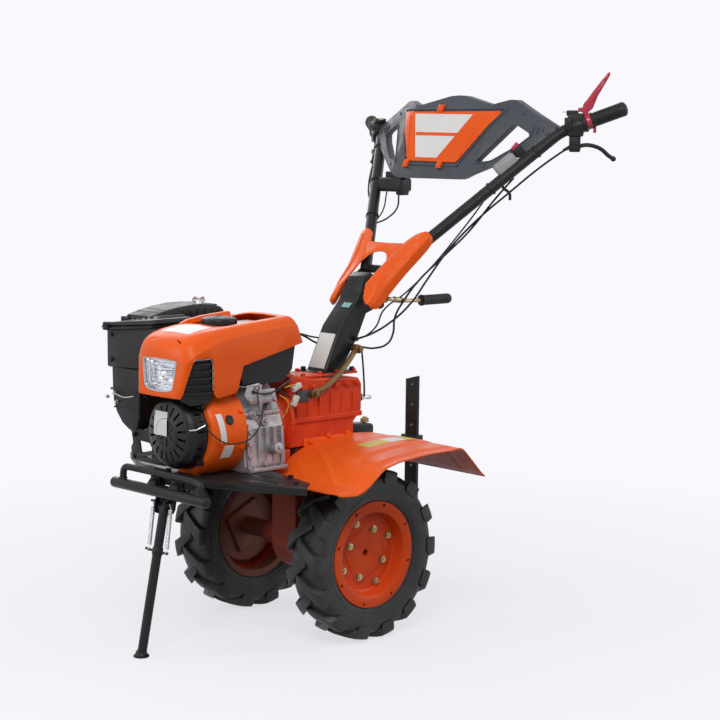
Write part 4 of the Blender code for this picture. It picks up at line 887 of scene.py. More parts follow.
def build_hood():
    hood = hood_solid("hood_shell", 0.0)
    core = hood_solid("core", HOOD_WALL)
    below = sheet_of("below", HOOD_BELOW, "Y", -0.2, 0.2)
    well = block("well", (0.15, -0.066, 0.841), (0.356, 0.066, 0.9))
    bevelled(well, lambda edge: reach(edge, "z") > 0.03, 0.02)
    lamp = lamp_block("lamp_hole", LAMP_OUTLINE, 0.455, 0.56, 0.0085)
    slots = [moved(block("slot", (0.48, y - 0.011, 0.79), (0.485, y + 0.011, 0.85)),
        about((0.4825, y, 0.8), "Z", tilt)) for y, tilt in ((-0.04, 8.0), (0.056, -10.0))]
    longer = block("longer", (-0.1, -0.3, 0.55), (0.6, 0.3, 0.602))
    eased(cut(hood, core, longer, below, well, lamp, *slots), 0.0009, 2, 50.0)
    tray = cut(block("tray", (0.146, -0.07, 0.837), (0.36, 0.07, 0.841)),
        bar("filler_hole", (*CAP_PLACE, 0.8), (*CAP_PLACE, 0.9), 0.036, 40))
    ridge = eased(sheet_of("ridge", ((0.205, 0.85), (0.205, 0.864), (0.21, 0.868), (0.3, 0.861),
        (0.35, 0.853), (0.372, 0.845), (0.372, 0.84)), "Y", -0.084, -0.07), 0.005, 4, 40.0)
    edges = []
    for lean in (1, -1):
        route = [on_side(x, z, -0.0014) for x, z in NOTCH_EDGE]
        route = [Vector((p.x, lean * p.y, p.z)) for p in route]
        edges.append(wire("rolled_edge", rounded_path(route, 0.004, 3), 0.0021, False))
    made = joined("hood_shell", [hood, tray, ridge] + edges)
    skin = BVHTree.FromPolygons([vertex.co.copy() for vertex in made.data.vertices],
        [tuple(face.vertices) for face in made.data.polygons])

    def on_hood(x, y):
        touched = skin.ray_cast(Vector((x, y, 1.0)), Vector((0, 0, -1)))[0]
        return touched + Vector((0, 0, 0.0006))

    settle(label_patch("front_label", (0.374, 0.452), (-0.056, 0.056), on_hood), "label",
        smooth=40)
    settle(made, "orange", "engine_hood", smooth=32)
    settle(block("top_label", (0.158, -0.06, 0.8412), (0.262, 0.06, 0.8416)), "label")


def lamp_block(name, outline, rear, front, radius):
    """The lamp's outline with rounded corners, run along the machine."""
    return bevelled(sheet_of(name, outline, "X", rear, front), lambda edge: reach(edge, "x")
        > 0.5 * (front - rear) and abs(edge.verts[0].co.y) > 0.05, radius)


def lamp_outline(share):
    return grown(LAMP_OUTLINE, share, LAMP_MIDDLE)


def soft_outline(outline, radius, steps=4):
    """A closed outline with its corners turned to bends."""
    path = []
    for k in range(len(outline)):
        before, corner, after = (Vector((*outline[(k + d) % len(outline)], 0)) for d in (-1, 0, 1))
        start, end = (corner + (other - corner).normalized()
            * min(radius, (other - corner).length * 0.4) for other in (before, after))
        path += [(place.x, place.y) for place in bend(start, corner, end, steps)]
    return path


def build_headlight():
    """A chromed, stepped dish with its bulb behind a clear cover, in a grey rim."""
    rings = [[(x, y, z) for y, z in soft_outline(lamp_outline(share), 0.01 * share)]
        for share, x in ((0.97, 0.47), (0.97, 0.4925), (0.925, 0.4925), (0.9, 0.487),
        (0.8, 0.4865), (0.775, 0.4815), (0.64, 0.481), (0.61, 0.4765), (0.42, 0.476),
        (0.34, 0.473))]
    parts = [skinned("dish", rings), spun("bulb", ((0.0, 0.472), (0.0075, 0.472), (0.0075, 0.479),
        (0.0105, 0.483), (0.0105, 0.489), (0.006, 0.494), (0.0, 0.495)), (0, *LAMP_MIDDLE), "X",
        24), block("visor", (0.474, -0.022, 0.742), (0.493, 0.022, 0.7436))]
    for k in range(7):
        z, half = 0.6985 + 0.0108 * k, 0.056 - 0.002 * (6 - k)
        parts.append(block("band", (0.489, -half, z), (0.4905, half, z + 0.0016)))
    finished("lamp_reflector", parts, "chrome", smooth=28)

    def bow(y):
        """How far the lamp's front goes back to follow the nose's bow."""
        return -0.016 * min(1.0, abs(y) / 0.11) ** 2.2

    rim = lamp_block("rim", lamp_outline(0.996), 0.49, 0.509, 0.0082)
    cut(rim, lamp_block("rim_hole", lamp_outline(0.925), 0.48, 0.52, 0.007))
    for vertex in sliced(rim, (-0.052, -0.03, 0.0, 0.03, 0.052)).data.vertices:
        vertex.co.x += bow(vertex.co.y) * ramp(vertex.co.x, 0.489, 0.509)
    settle(eased(rim, 0.0014, 3, 50.0), "frosted", smooth=32)
    cover = lamp_block("cover", lamp_outline(0.92), 0.5015, 0.505, 0.0068)
    levels = (-0.052, -0.036, -0.018, 0.0, 0.018, 0.036, 0.052)
    for vertex in sliced(cover, levels).data.vertices:
        vertex.co.x += bow(vertex.co.y)
    settle(cover, "lens", "headlight", smooth=32)


CHEEK = ((0.411, 0.773), (0.474, 0.773), (0.479, 0.769), (0.4975, 0.68), (0.493, 0.664),
    (0.47, 0.652), (0.43, 0.656), (0.411, 0.664))
CHEEK_HIGHLIGHT_LINE = ((0.4135, 0.69), (0.4145, 0.762), (0.4215, 0.77), (0.471, 0.77), (0.476, 0.765))


def build_vents():
    """The black cheeks in the hood's notches: a recessed panel, louvres, and a thin rim wire in
    bright steel along their top and rear edges as a painted highlight.
    """
    panel = drawn("panel", [on_side(x, z, -0.012) for x, z in CHEEK],
        faces=[tuple(range(len(CHEEK)))])
    parts = [modified(outward(panel), "SOLIDIFY", thickness=0.0022, offset=0.0)]
    for k in range(5):
        z = 0.682 + 0.0185 * k
        rings = []
        for x in (0.413, 0.435, 0.46, 0.497 - 0.2 * (z - 0.68) - 0.004):
            inner, outer = on_side(x, z + 0.008, -0.0115), on_side(x, z, -0.002)
            rings.append([inner, outer + Vector((0, 0, 0.0018)), outer,
                inner - Vector((0, 0, 0.003))])
        parts.append(eased(skinned("louvre", rings), 0.0006))
    cheek = joined("left_cheek", parts)
    # painted highlight: a thin bright steel wire on the cheek's top and rear edges
    settle_pair(wire("left_cheek_edge", rounded_path([on_side(x, z, -0.0045)
        for x, z in CHEEK_HIGHLIGHT_LINE], 0.004, 3), 0.0012, False), "steel", 50)
    settle_pair(cheek, "plastic", 30)
    cowl = skinned("cowl", [[(x, -half, top), (x, half, top), (x, half * 0.96, low),
        (x, -half * 0.96, low)] for x, half, top, low in ((0.402, 0.094, 0.745, 0.66),
        (0.46, 0.096, 0.745, 0.655), (0.466, 0.088, 0.74, 0.657))])
    cut(cowl, bar("drum", CRANK + Vector((0.3, 0, 0)), CRANK + Vector((0.6, 0, 0)), 0.1185, 64))
    lip = skinned("lip", [[(x, -half, z), (x, half, z), (x, half, z - 0.004), (x, -half, z - 0.004)]
        for x, half, z in ((0.464, 0.088, 0.684), (0.49, 0.078, 0.677), (0.499, 0.066, 0.674))])
    finished("nose_cowl", [eased(cowl, 0.003, 3, 45.0), eased(lip, 0.001)], "plastic",
        "hood_vents", smooth=38)


def build_cap():
    """The fuel cap: a low dome with finger ribs round its edge, on its filler neck."""
    x, y = CAP_PLACE
    base = 0.84
    profile = [(radius, base + up) for radius, up in ((0.0, 0.0), (0.043, 0.0), (0.0462, 0.003),
        (0.0466, 0.015), (0.045, 0.019), (0.039, 0.0222), (0.033, 0.0232), (0.0315, 0.0226),
        (0.029, 0.0235), (0.015, 0.025), (0.0, 0.0254))]
    parts = [spun("cap", profile, (x, y, 0), "Z", 56)]
    for k in range(30):
        turn = math.tau * k / 30
        place = Vector((x + 0.0462 * math.cos(turn), y + 0.0462 * math.sin(turn), base + 0.0035))
        parts.append(bar("rib", place, place + Vector((0, 0, 0.0115)), 0.0017, 8))
    parts.append(eased(bar("vent", (x, y, base + 0.024), (x, y, base + 0.027), 0.006, 20), 0.001))
    finished("fuel_cap_ribbed", parts, "plastic", "fuel_cap")


# ---------------------------------------------------------------- air cleaner and silencer

CLEANER_REAR, CLEANER_FRONT = 0.292, 0.418
CLEANER_LOW = ((-0.32, 0.712), (-0.318, 0.655), (-0.314, 0.62), (-0.3, 0.588), (-0.276, 0.562),
    (-0.246, 0.546), (-0.212, 0.546), (-0.2, 0.58), (-0.1965, 0.712))


def build_cleaner():
    """A stepped housing with a rounded foot, its beads, ribs and screw bosses."""
    rear, front = CLEANER_REAR, CLEANER_FRONT
    low = sheet_of("cleaner", CLEANER_LOW, "X", rear + 0.004, front - 0.003)
    upper = skinned("upper", [[(rear + inset, outer, z), (front - inset, outer, z),
        (front - inset, inner, inner_z), (rear + inset, inner, inner_z)]
        for inset, outer, z, inner, inner_z in ((0.001, -0.336, 0.708, -0.126, 0.716),
        (0.0, -0.338, 0.714, -0.124, 0.722), (0.0, -0.339, 0.813, -0.122, 0.835))])
    finished("cleaner_housing", [eased(low, 0.005, 3, 40.0), eased(upper, 0.007, 3, 50.0),
        soft_block("bead", (rear + 0.006, -0.309, 0.6), (front - 0.001, -0.215, 0.6045), 0.001),
        *[bar("boss", (front - 0.002, y, z), (front + 0.0035, y, z), 0.0062, 18)
        for y, z in ((-0.318, 0.73), (-0.318, 0.798), (-0.15, 0.74))],
        soft_block("shelf", (rear + 0.004, -0.3225, 0.648), (front + 0.001, -0.205, 0.654),
        0.0022, 3)], "plastic", "air_cleaner_box", smooth=40)


def build_lid():
    """The overhanging lid: a deep rim, a raised top with a corner tab, and its catch block."""
    rear, front = CLEANER_REAR, CLEANER_FRONT
    rings = []
    for grow, drop in ((0.006, -0.004), (0.01, -0.0025), (0.01, 0.0135), (0.007, 0.017),
            (-0.006, 0.0185), (-0.018, 0.019), (-0.024, 0.023), (-0.03, 0.024)):
        low, inner = 0.812 + drop, 0.834 + drop * 1.05
        back = rear - grow * 0.4
        rings.append([(back, -0.337 - grow, low), (front + grow, -0.337 - grow, low),
            (front + grow, -0.126 + grow * 0.6, inner), (back, -0.126 + grow * 0.6, inner)])
    lid = bevelled(skinned("lid", rings), lambda edge: reach(edge, "z") < 0.012
        and (edge.verts[0].co - edge.verts[1].co).length < 0.022 and reach(edge, "y") < 0.02,
        0.01, 4)
    parts = [eased(lid, 0.0018, 3, 35.0), spun("tab", ((0.0, -0.009), (0.0105, -0.009),
        (0.0125, -0.007), (0.0125, 0.0095), (0.01, 0.0125), (0.0, 0.013)),
        (front + 0.006, -0.327, 0.819), "Z", 28),
        soft_block("catch", (0.35, -0.31, 0.834), (0.392, -0.284, 0.847), 0.0026, 3)]
    for k in range(5):
        y = -0.27 + 0.026 * k
        z = 0.8355 + (y + 0.337) * 0.104
        parts.append(soft_block("rib", (rear + 0.014, y - 0.002, z - 0.001),
            (front - 0.014, y + 0.002, z + 0.003), 0.0009))
    finished("cleaner_lid", parts, "plastic", "air_cleaner_lid", smooth=38)


COVER_SIDE = ((0.134, 0.838), (0.133, 0.86), (0.142, 0.868), (0.17, 0.8755), (0.201, 0.8785),
    (0.25, 0.878), (0.3, 0.8725), (0.345, 0.864), (0.384, 0.853), (0.384, 0.84))


def build_filter_cover():
    """The ribbed black cover behind the lid, held by a wing nut."""
    cover = bevelled(sheet_of("cover", COVER_SIDE, "Y", -0.296, -0.182), lambda edge:
        reach(edge, "y") < 0.001 and max(edge.verts[0].co.z, edge.verts[1].co.z) > 0.85
        and reach(edge, "x") > 0.004, 0.01, 4)
    parts = [eased(cover, 0.003, 3, 38.0)]
    for k in range(9):
        x = 0.15 + 0.025 * k
        top = 0.8765 - 1.4 * (x - 0.215) ** 2 / 1.6
        for side, y in ((1, -0.1815), (-1, -0.2965)):
            low, high = sorted((y - side * 0.003, y + side * 0.0022))
            parts.append(soft_block("rib", (x, low, 0.842), (x + 0.004, high, top - 0.01), 0.0009))
        parts.append(soft_block("crest", (x, -0.285, top - 0.003), (x + 0.004, -0.194, top + 0.002),
            0.0009))
    parts += [soft_block("foot", (x, -0.285, 0.8), (x + 0.01, -0.2, 0.845), 0.0015)
        for x in (0.142, 0.262)]
    finished("filter_cover", parts, "plastic", smooth=38)
    seat = Vector((0.206, -0.205, 0.8785))
    nut = [bar("stud", seat, seat + Vector((0, 0, 0.016)), 0.0032, 14),
        spun("boss", ((0.0, 0.0), (0.0085, 0.0), (0.0068, 0.009), (0.0, 0.01)), seat, "Z", 20),
        *[spun("wing", ((0.0, 0.0), (0.0065, 0.0012), (0.0082, 0.0), (0.0065, -0.0012)),
        seat + Vector((lean * 0.0105, 0, 0.0115)), "Y", 20) for lean in (1, -1)]]
    settle(moved(joined("wing_nut", nut), about(seat, "Z", -32.0)), "steel", smooth=40)


def build_silencer():
    """The silencer can, its louvred guard and the stub to the cylinder."""
    can = soft_block("can", (0.14, -0.285, 0.742), (0.272, -0.152, 0.826), 0.014, 4, 40.0)
    guard = block("guard", (0.134, -0.292, 0.752), (0.284, -0.286, 0.812))
    holes = [block("hole", (0.149 + 0.0195 * k, -0.3, 0.765), (0.149 + 0.0195 * k + 0.007, -0.28,
        0.8)) for k in range(7)]
    cut(eased(guard, 0.0015), joined("holes", holes))
    finished("silencer", [can, guard, bar("stub", (0.215, -0.158, 0.7063), (0.215, -0.158, 0.76),
        0.016, 28), *bolts([(x, -0.2925, 0.782) for x in (0.15, 0.262)], (0, -1, 0), 0.009, 0.004),
        soft_block("flange", (0.19, -0.182, 0.7066), (0.24, -0.134, 0.714), 0.002)], "black",
        "muffler", smooth=38)


# ---------------------------------------------------------------- engine

BLOWER_REAR, BLOWER_FRONT = 0.3075, 0.4195
STARTER_REAR, STARTER_FRONT = 0.4198, 0.481


def round_crank(x, radius, degrees):
    turn = math.radians(degrees)
    return CRANK + Vector((x, radius * math.cos(turn), radius * math.sin(turn)))


def build_blower():
    """The pressed fan housing: a drum with a rolled front edge, a flange and its round plug."""
    rear, front = BLOWER_REAR, BLOWER_FRONT
    profile = ((0.105, rear + 0.001), (0.1185, rear + 0.001), (0.1195, rear + 0.003),
        (0.118, rear + 0.006), (0.1172, rear + 0.012), (0.1172, front - 0.022),
        (0.115, front - 0.01), (0.109, front - 0.0025), (0.1, front), (0.086, front),
        (0.086, front - 0.003), (0.099, front - 0.0032), (0.107, front - 0.006),
        (0.1122, front - 0.014), (0.1142, front - 0.024), (0.1142, rear + 0.004),
        (0.105, rear + 0.004), (0.105, rear + 0.001))
    shell = cut(spun("shell", profile, CRANK, "X", 96),
        block("floor", (0.25, -0.2, 0.4), (0.5, 0.2, 0.4615)))
    inner = spun("inner", ((0.0, front - 0.012), (0.112, front - 0.012), (0.112, rear + 0.002),
        (0.0, rear + 0.002)), CRANK, "X", 64)
    cut(inner, block("floor", (0.25, -0.2, 0.4), (0.5, 0.2, 0.463)))
    parts = [shell, inner, soft_block("sole", (rear + 0.01, -0.04, 0.4612),
        (front - 0.006, 0.04, 0.464), 0.0008)]
    for degrees in (28.0, 78.0, 118.0, 160.0, -20.0):
        out = round_crank(0, 1, degrees) - CRANK
        parts.append(hex_bolt(round_crank(rear + 0.012, 0.1165, degrees), out, 0.01, 0.0042))
    finished("blower_drum", parts, "orange", "blower_housing", smooth=30)
    out = Vector((0, 0.115, 0.61 - CRANK.z)).normalized()
    plug = spun("plug", ((0.0, -0.004), (0.013, -0.004), (0.0136, 0.0005), (0.0124, 0.003),
        (0.0092, 0.0036), (0.0075, 0.0018), (0.0, 0.0014)), (0, 0, 0), "Y", 32)
    settle(moved(plug, aimed(CRANK + Vector((0.362, 0, 0)) + out * 0.1165, out, "Y", "Z")),
        "plastic", smooth=38)


def drum_plate(name, x, degrees, length, width, lean=0.0, radius=0.1176, steps=8):
    """A bare label on the drum: it follows the curve. Length runs round the drum."""
    points = []
    for i in range(steps + 1):
        turn = math.radians(degrees) + (i / steps - 0.5) * length / radius
        points += [(x + across * width + lean * (i / steps - 0.5), radius * math.cos(turn),
            CRANK.z + radius * math.sin(turn)) for across in (-0.5, 0.5)]
    made = outward(drawn(name, points, faces=[(2 * i, 2 * i + 1, 2 * i + 3, 2 * i + 2)
        for i in range(steps)]))
    return modified(made, "SOLIDIFY", thickness=0.0004, offset=0.0)


def build_labels():
    finished("engine_labels", [drum_plate("label_long", 0.389, 9.0, 0.076, 0.019, 0.012),
        drum_plate("label_square", 0.366, -23.0, 0.036, 0.033, -0.004)], "label", smooth=40)


def build_starter():
    """The recoil starter: a ribbed cowl with louvred slots, bolted at its lugs, and its label; its
    rope guide and pull hook come in build_pull.
    """
    rear, front = STARTER_REAR, STARTER_FRONT
    depth = front - rear
    slope = ((0.0946, rear + 0.55 * depth), (0.088, rear + 0.78 * depth),
        (0.08, rear + 0.87 * depth), (0.058, rear + 0.975 * depth), (0.042, front))
    profile = ((0.086, rear), (0.096, rear), (0.0972, rear + 0.002), (0.0972, rear + 0.006),
        (0.0952, rear + 0.008), *slope, (0.04, front + 0.0015), (0.034, front + 0.0015),
        (0.032, front - 0.001), (0.012, front - 0.001), (0.0, front - 0.001), (0.0, front - 0.005),
        (0.056, front - 0.006), (0.078, rear + 0.8 * depth), (0.09, rear + 0.5 * depth),
        (0.09, rear), (0.086, rear))

    def spread(made, share):
        """Turns a part round the crank by a share of a full turn."""
        return moved(made, Matrix.Translation(CRANK) @ Matrix.Rotation(math.tau * share, 4, "X"))

    slots = [spread(block("slot", (front - 0.024, -0.003, 0.047), (front + 0.006, 0.003, 0.074)),
        k / 18) for k in range(18)]
    slots += [spread(block("slot", (rear + 0.013, -0.0026, 0.085), (rear + 0.033, 0.0026, 0.105)),
        k / 26) for k in range(26) if k % 13 != 6]
    parts = [cut(spun("cowl", profile, CRANK, "X", 72), joined("slots", slots)),
        spun("core", ((0.0, rear + 0.004), (0.086, rear + 0.004), (0.086, rear + 0.44 * depth),
        (0.052, rear + 0.82 * depth), (0.0, rear + 0.84 * depth)), CRANK, "X")]
    parts += [eased(spread(block("rib", (front - 0.004, -0.0022, 0.013), (front + 0.0018, 0.0022,
        0.033)), k / 6), 0.0008) for k in range(6)]
    for degrees in (45.0, 135.0, 225.0, 315.0):
        place = round_crank(rear + 0.006, 0.1, degrees)
        tip = place + Vector((0.003, 0, 0))
        parts += [bar("lug", place - Vector((0.006, 0, 0)), tip, 0.0095, 20),
            hex_bolt(tip, (1, 0, 0), 0.01, 0.005)]
    finished("starter_cowl", parts, "plastic", "recoil_starter", smooth=32)
    line = ((0.0, front + 0.0015), (0.034, front + 0.0015), *reversed(slope))

    def on_cowl(y, z):
        x = float(np.interp(math.hypot(y, z), [p[0] for p in line], [p[1] for p in line]))
        return CRANK + Vector((x + 0.0007, y, z))

    settle(label_patch("starter_label", (-0.05, 0.006), (-0.006, 0.056), on_cowl), "label",
        smooth=40)


def build_pull():
    """The rope guide, the pull hook and the thin cable that loops round to the crankcase."""
    seat, half = Vector((0.44, 0.093, 0.598)), Vector((0.014, 0.012, 0.012))
    guide = soft_block("guide", seat - half, seat + half, 0.004, 3, 40.0)
    hook = wire("hook", rounded_path([(0.456, 0.06, 0.61), (0.47, 0.078, 0.588),
        (0.468, 0.108, 0.593), (0.448, 0.118, 0.604)], 0.008), 0.0022, False)
    settle(guide, "plastic")
    settle(hook, "steel")
    settle(wire("stop_wire", [(0.444, 0.112, 0.6), (0.425, 0.127, 0.575), (0.395, 0.132, 0.556),
        (0.35, 0.13, 0.549), (0.305, 0.127, 0.556), (0.27, 0.123, 0.585), (0.248, 0.112, 0.64)],
        0.0019), "black", smooth=60)


def build_crankcase():
    """Cast details on the crankcase: flange, ribs, bolts, feet, filler, drain, bosses and a rail;
    the governor lever comes in build_controls.
    """
    parts = []
    for k in range(8):
        z = 0.478 + 0.0135 * k
        y = 0.1085 - 0.09 * max(0.0, z - 0.478)
        parts.append(soft_block("rib", (0.172, y - 0.01, z), (0.29, y + 0.001, z + 0.003), 0.0009))
    parts += [soft_block("seam", (0.293, 0.058, 0.464), (0.303, 0.117, 0.59), 0.0022, 3),
        *bolts([(0.2985, 0.1168, z) for z in (0.474, 0.506, 0.538, 0.57)], (0, 1, 0), 0.0105,
        0.0052)]
    for x in (0.178, 0.27):
        parts += [soft_block("foot", (x - 0.014, 0.085, 0.4615), (x + 0.014, 0.118, 0.472), 0.002,
            3), hex_bolt((x, 0.106, 0.472), (0, 0, 1), 0.0125, 0.0065)]
    knob = spun("knob", ((0.0, 0.0), (0.0155, 0.0), (0.0155, 0.0065), (0.012, 0.0085),
        (0.0045, 0.009), (0.0045, 0.014), (0.0, 0.014)), (0, 0, 0), "Y", 24)
    parts += [soft_bar("dip", (0.2115, 0.096, 0.513), (0.2115, 0.13, 0.5215), 0.013, 24, 0.0015),
        moved(knob, Matrix.Translation((0.2115, 0.1285, 0.5212)) @ Matrix.Rotation(0.24, 4, "X")),
        hex_bolt((0.24, 0.109, 0.483), (0, 1, 0), 0.014, 0.0075)]
    for x, z, radius in ((0.232, 0.592, 0.015), (0.268, 0.612, 0.0125), (0.205, 0.628, 0.011)):
        y = 0.096 - 0.3 * max(0.0, z - 0.571)
        parts += [moved(spun("boss", ((0.0, 0.0), (radius, 0.0), (radius, 0.008),
            (radius * 0.78, 0.0125), (0.0, 0.0135)), (0, 0, 0), "Y", 26), Vector((x, y, z))),
            hex_bolt((x, y + 0.013, z), (0, 1, 0), 0.0085, 0.004)]
    parts.append(soft_block("rail", (0.17, 0.078, 0.606), (0.296, 0.09, 0.618), 0.0022, 3))
    finished("crankcase_castings", parts, "aluminium", smooth=38)


def build_controls():
    """The governor's bracket, its lever and springs beside the cylinder, under the hood."""
    plate = sheet_of("plate", ((0.188, 0.64), (0.28, 0.64), (0.3, 0.664), (0.292, 0.69),
        (0.25, 0.694), (0.24, 0.676), (0.196, 0.676)), "Y", 0.096, 0.0982)
    cut(plate, block("slot", (0.205, 0.09, 0.654), (0.236, 0.11, 0.66)),
        bar("hole", (0.27, 0.08, 0.67), (0.27, 0.12, 0.67), 0.006, 18))
    arm = sheet_of("arm", ((0.238, 0.602), (0.247, 0.6), (0.257, 0.668), (0.252, 0.69),
        (0.244, 0.69), (0.246, 0.668)), "Y", 0.101, 0.103)
    parts = [eased(plate, 0.0007), *bolts([(0.198, 0.0982, 0.648), (0.284, 0.0982, 0.652),
        (0.262, 0.0982, 0.682)], (0, 1, 0), 0.0085, 0.0042), eased(arm, 0.0006),
        wire("link", [(0.249, 0.1045, 0.684), (0.27, 0.1055, 0.69), (0.3, 0.104, 0.688),
        (0.322, 0.098, 0.69)], 0.0011)]
    coil = []
    for k in range(97):
        turn = math.tau * k / 8
        middle = Vector((0.206, 0.102, 0.634)).lerp(Vector((0.247, 0.103, 0.612)), k / 96)
        coil.append(middle + Vector((0.0012 * math.cos(turn), 0.003 * math.cos(turn),
            0.003 * math.sin(turn))))
    parts.append(wire("spring", coil, 0.0006, False, 2))
    finished("governor_parts", parts, "aluminium", smooth=38)


LEADS = {
    "yellow": (((0.178, 0.098, 0.655), (0.162, 0.11, 0.64), (0.16, 0.106, 0.612),
        (0.172, 0.104, 0.596)), ((0.15, 0.086, 0.672), (0.12, 0.086, 0.676), (0.092, 0.082,
        0.672))),
    "red_lead": (((0.2, 0.1, 0.644), (0.176, 0.112, 0.624), (0.17, 0.106, 0.59),
        (0.186, 0.104, 0.56)),),
    "black": (((0.27, 0.1, 0.672), (0.236, 0.104, 0.664), (0.196, 0.1, 0.668),
        (0.16, 0.092, 0.68), (0.118, 0.08, 0.69)), ((0.178, 0.092, 0.666), (0.15, 0.1, 0.652),
        (0.128, 0.088, 0.64)))}


def build_loom():
    """Wires by the crankcase: yellow, red and black leads with their white connectors."""
    for finish, lines in LEADS.items():
        parts = [wire("lead", line, 0.0021 if finish == "black" else 0.0014) for line in lines]
        if finish == "black":
            parts.append(ring("band", (0.176, 0.0945, 0.668), "X", 0.0046, 0.0018, 24, 8))
        finished(f"{finish}_leads", parts, finish, smooth=60)
    parts = []
    for place, degrees in (((0.106, 0.084, 0.669), 24.0), ((0.118, 0.092, 0.634), 62.0)):
        shell = block("connector", (-0.015, -0.006, -0.0065), (0.015, 0.006, 0.0065))
        pick(shell, facing((1, 0, 0)))
        bpy.ops.mesh.inset(thickness=0.0014, depth=0.0)
        bpy.ops.mesh.extrude_region_move(TRANSFORM_OT_translate={"value": (-0.006, 0, 0)})
        close()
        tab = block("tab", (-0.01, -0.002, 0.0065), (0.004, 0.002, 0.009))
        parts.append(moved(joined("connector", [eased(shell, 0.0008), eased(tab, 0.0005)]),
            Matrix.Translation(place) @ turned("Y", degrees)))
    finished("connectors", parts, "white")


def build_strut():
    """The black bracket between the air cleaner's foot, the starter and the deck."""
    plate = sheet_of("plate", ((-0.262, 0.56), (-0.246, 0.552), (-0.178, 0.552), (-0.15, 0.575),
        (-0.12, 0.6), (-0.092, 0.6), (-0.092, 0.466), (-0.236, 0.466), (-0.24, 0.5),
        (-0.232, 0.512), (-0.236, 0.54)), "X", 0.406, 0.411)
    window = sheet_of("window", ((-0.196, 0.488), (-0.15, 0.478), (-0.15, 0.508), (-0.16, 0.52),
        (-0.204, 0.522)), "X", 0.38, 0.44)
    cut(plate, window, bar("eye", (0.38, -0.139, 0.59), (0.44, -0.139, 0.59), 0.0075))
    finished("engine_strut", [eased(plate, 0.0009), *bolts([(0.411, -0.222, 0.536),
        (0.411, -0.104, 0.478), (0.411, -0.222, 0.478)], (1, 0, 0), 0.011, 0.0055),
        wire("brace", [(0.408, -0.225, 0.478), (0.416, -0.15, 0.494), (0.42, -0.1, 0.5)], 0.006)],
        "black", smooth=40)
    parts = [hex_bolt(place, out, size, 0.006) for place, out, size in (
        ((0.4185, -0.3, 0.64), (1, 0, 0.3), 0.009), ((0.4185, -0.33, 0.628), (1, -0.2, 0), 0.008),
        ((0.4185, -0.292, 0.618), (1, 0, -0.2), 0.008))]
    parts.append(wire("rod", [(0.42, -0.3, 0.64), (0.424, -0.255, 0.634), (0.42, -0.215, 0.64)],
        0.0016))
    finished("choke_linkage", parts, "steel", smooth=40)


# ---------------------------------------------------------------- gear case, fenders, frame

def build_gear_fittings():
    """Bolts, cover, lug, breather and a bare plate on the gear case."""
    parts = [soft_block("cover", (-0.15, -0.054, 0.684), (0.1, 0.054, 0.6905), 0.0022, 3)]
    parts += bolts([(x, y, 0.6905) for x in (-0.141, -0.078, -0.015, 0.048, 0.091)
        for y in (-0.0465, 0.0465)], (0, 0, 1), 0.011, 0.0055)
    for x in (-0.135, -0.094, -0.053, -0.012, 0.029, 0.07, 0.1):
        for side in (1, -1):
            tip = (x, side * 0.0668, 0.661)
            parts += [soft_bar("boss", (x, side * 0.055, 0.661), tip, 0.008, 20, 0.001),
                hex_bolt(tip, (0, side, 0), 0.01, 0.0048)]
    lug = sheet_of("lug", ((0.112, 0.474), (0.126, 0.444), (0.142, 0.437), (0.16, 0.446),
        (0.166, 0.466), (0.16, 0.492), (0.128, 0.5), (0.11, 0.5)), "Y", 0.052, 0.068)
    parts += [spun("breather", ((0.0, 0.689), (0.01, 0.689), (0.01, 0.696), (0.007, 0.698),
        (0.007, 0.704), (0.0125, 0.706), (0.0125, 0.716), (0.009, 0.719), (0.0, 0.719)),
        (0.066, 0.0, 0.0), "Z", 24), eased(lug, 0.004, 3),
        hex_bolt((0.145, 0.068, 0.464), (0, 1, 0), 0.013, 0.0065)]
    parts += [soft_block("sill", (-0.152, y - 0.0035, 0.569), (0.108, y + 0.0035, 0.576), 0.0022,
        3) for y in (0.064, -0.064)]
    places = (round_crank(0.1165, 0.079, degrees) for degrees in range(20, 380, 40))
    parts += bolts([place for place in places if place.z > 0.49], (1, 0, 0), 0.011, 0.0055)
    finished("gear_case_fittings", parts, "casting")
    settle(soft_block("plate", (0.042, 0.0625, 0.624), (0.088, 0.0672, 0.656), 0.0012), "slate")


FENDER_INNER = ((0.232, 0.436), (0.165, 0.441), (0.125, 0.47), (0.06, 0.5), (-0.02, 0.514),
    (-0.12, 0.52), (-0.214, 0.513), (-0.3, 0.424))
FENDER_OUTER = ((0.226, 0.434), (0.16, 0.438), (0.12, 0.468), (0.085, 0.494), (0.03, 0.506),
    (-0.082, 0.514), (-0.206, 0.514), (-0.3, 0.421))
FENDER_IN, FENDER_OUT = 0.0626, 0.4
FENDER_CORNER = 0.075
FENDER_STEPS = (-0.014, -0.007, 0.0, 0.007, 0.014)       # along the machine, to soften the bends
BEADS = ((0.004, (0.06, 0.12), (0.185, 0.33), 0.011),      # height, start, end, half width
    (0.003, (0.118, 0.1), (0.212, 0.27), 0.009), (0.003, (-0.225, 0.12), (-0.282, 0.12), 0.01),
    (0.003, (-0.225, 0.33), (-0.282, 0.33), 0.01))


def along_line(line, x):
    """Height of a falling line of (x, z) points at x."""
    for (x0, z0), (x1, z1) in zip(line, line[1:]):
        if x >= x1:
            return z0 + (z1 - z0) * (x0 - x) / (x0 - x1)
    return line[-1][1]


def bead_at(x, y, start, end, width):
    """1 on a straight pressed bead, falling to 0 at its sides and past its ends."""
    run = Vector(end) - Vector(start)
    away = Vector((x - start[0], y - start[1]))
    share = max(0.0, min(1.0, away.dot(run) / run.length_squared))
    return 0.5 + 0.5 * math.cos(math.pi * min(1.0, (away - run * share).length / width))


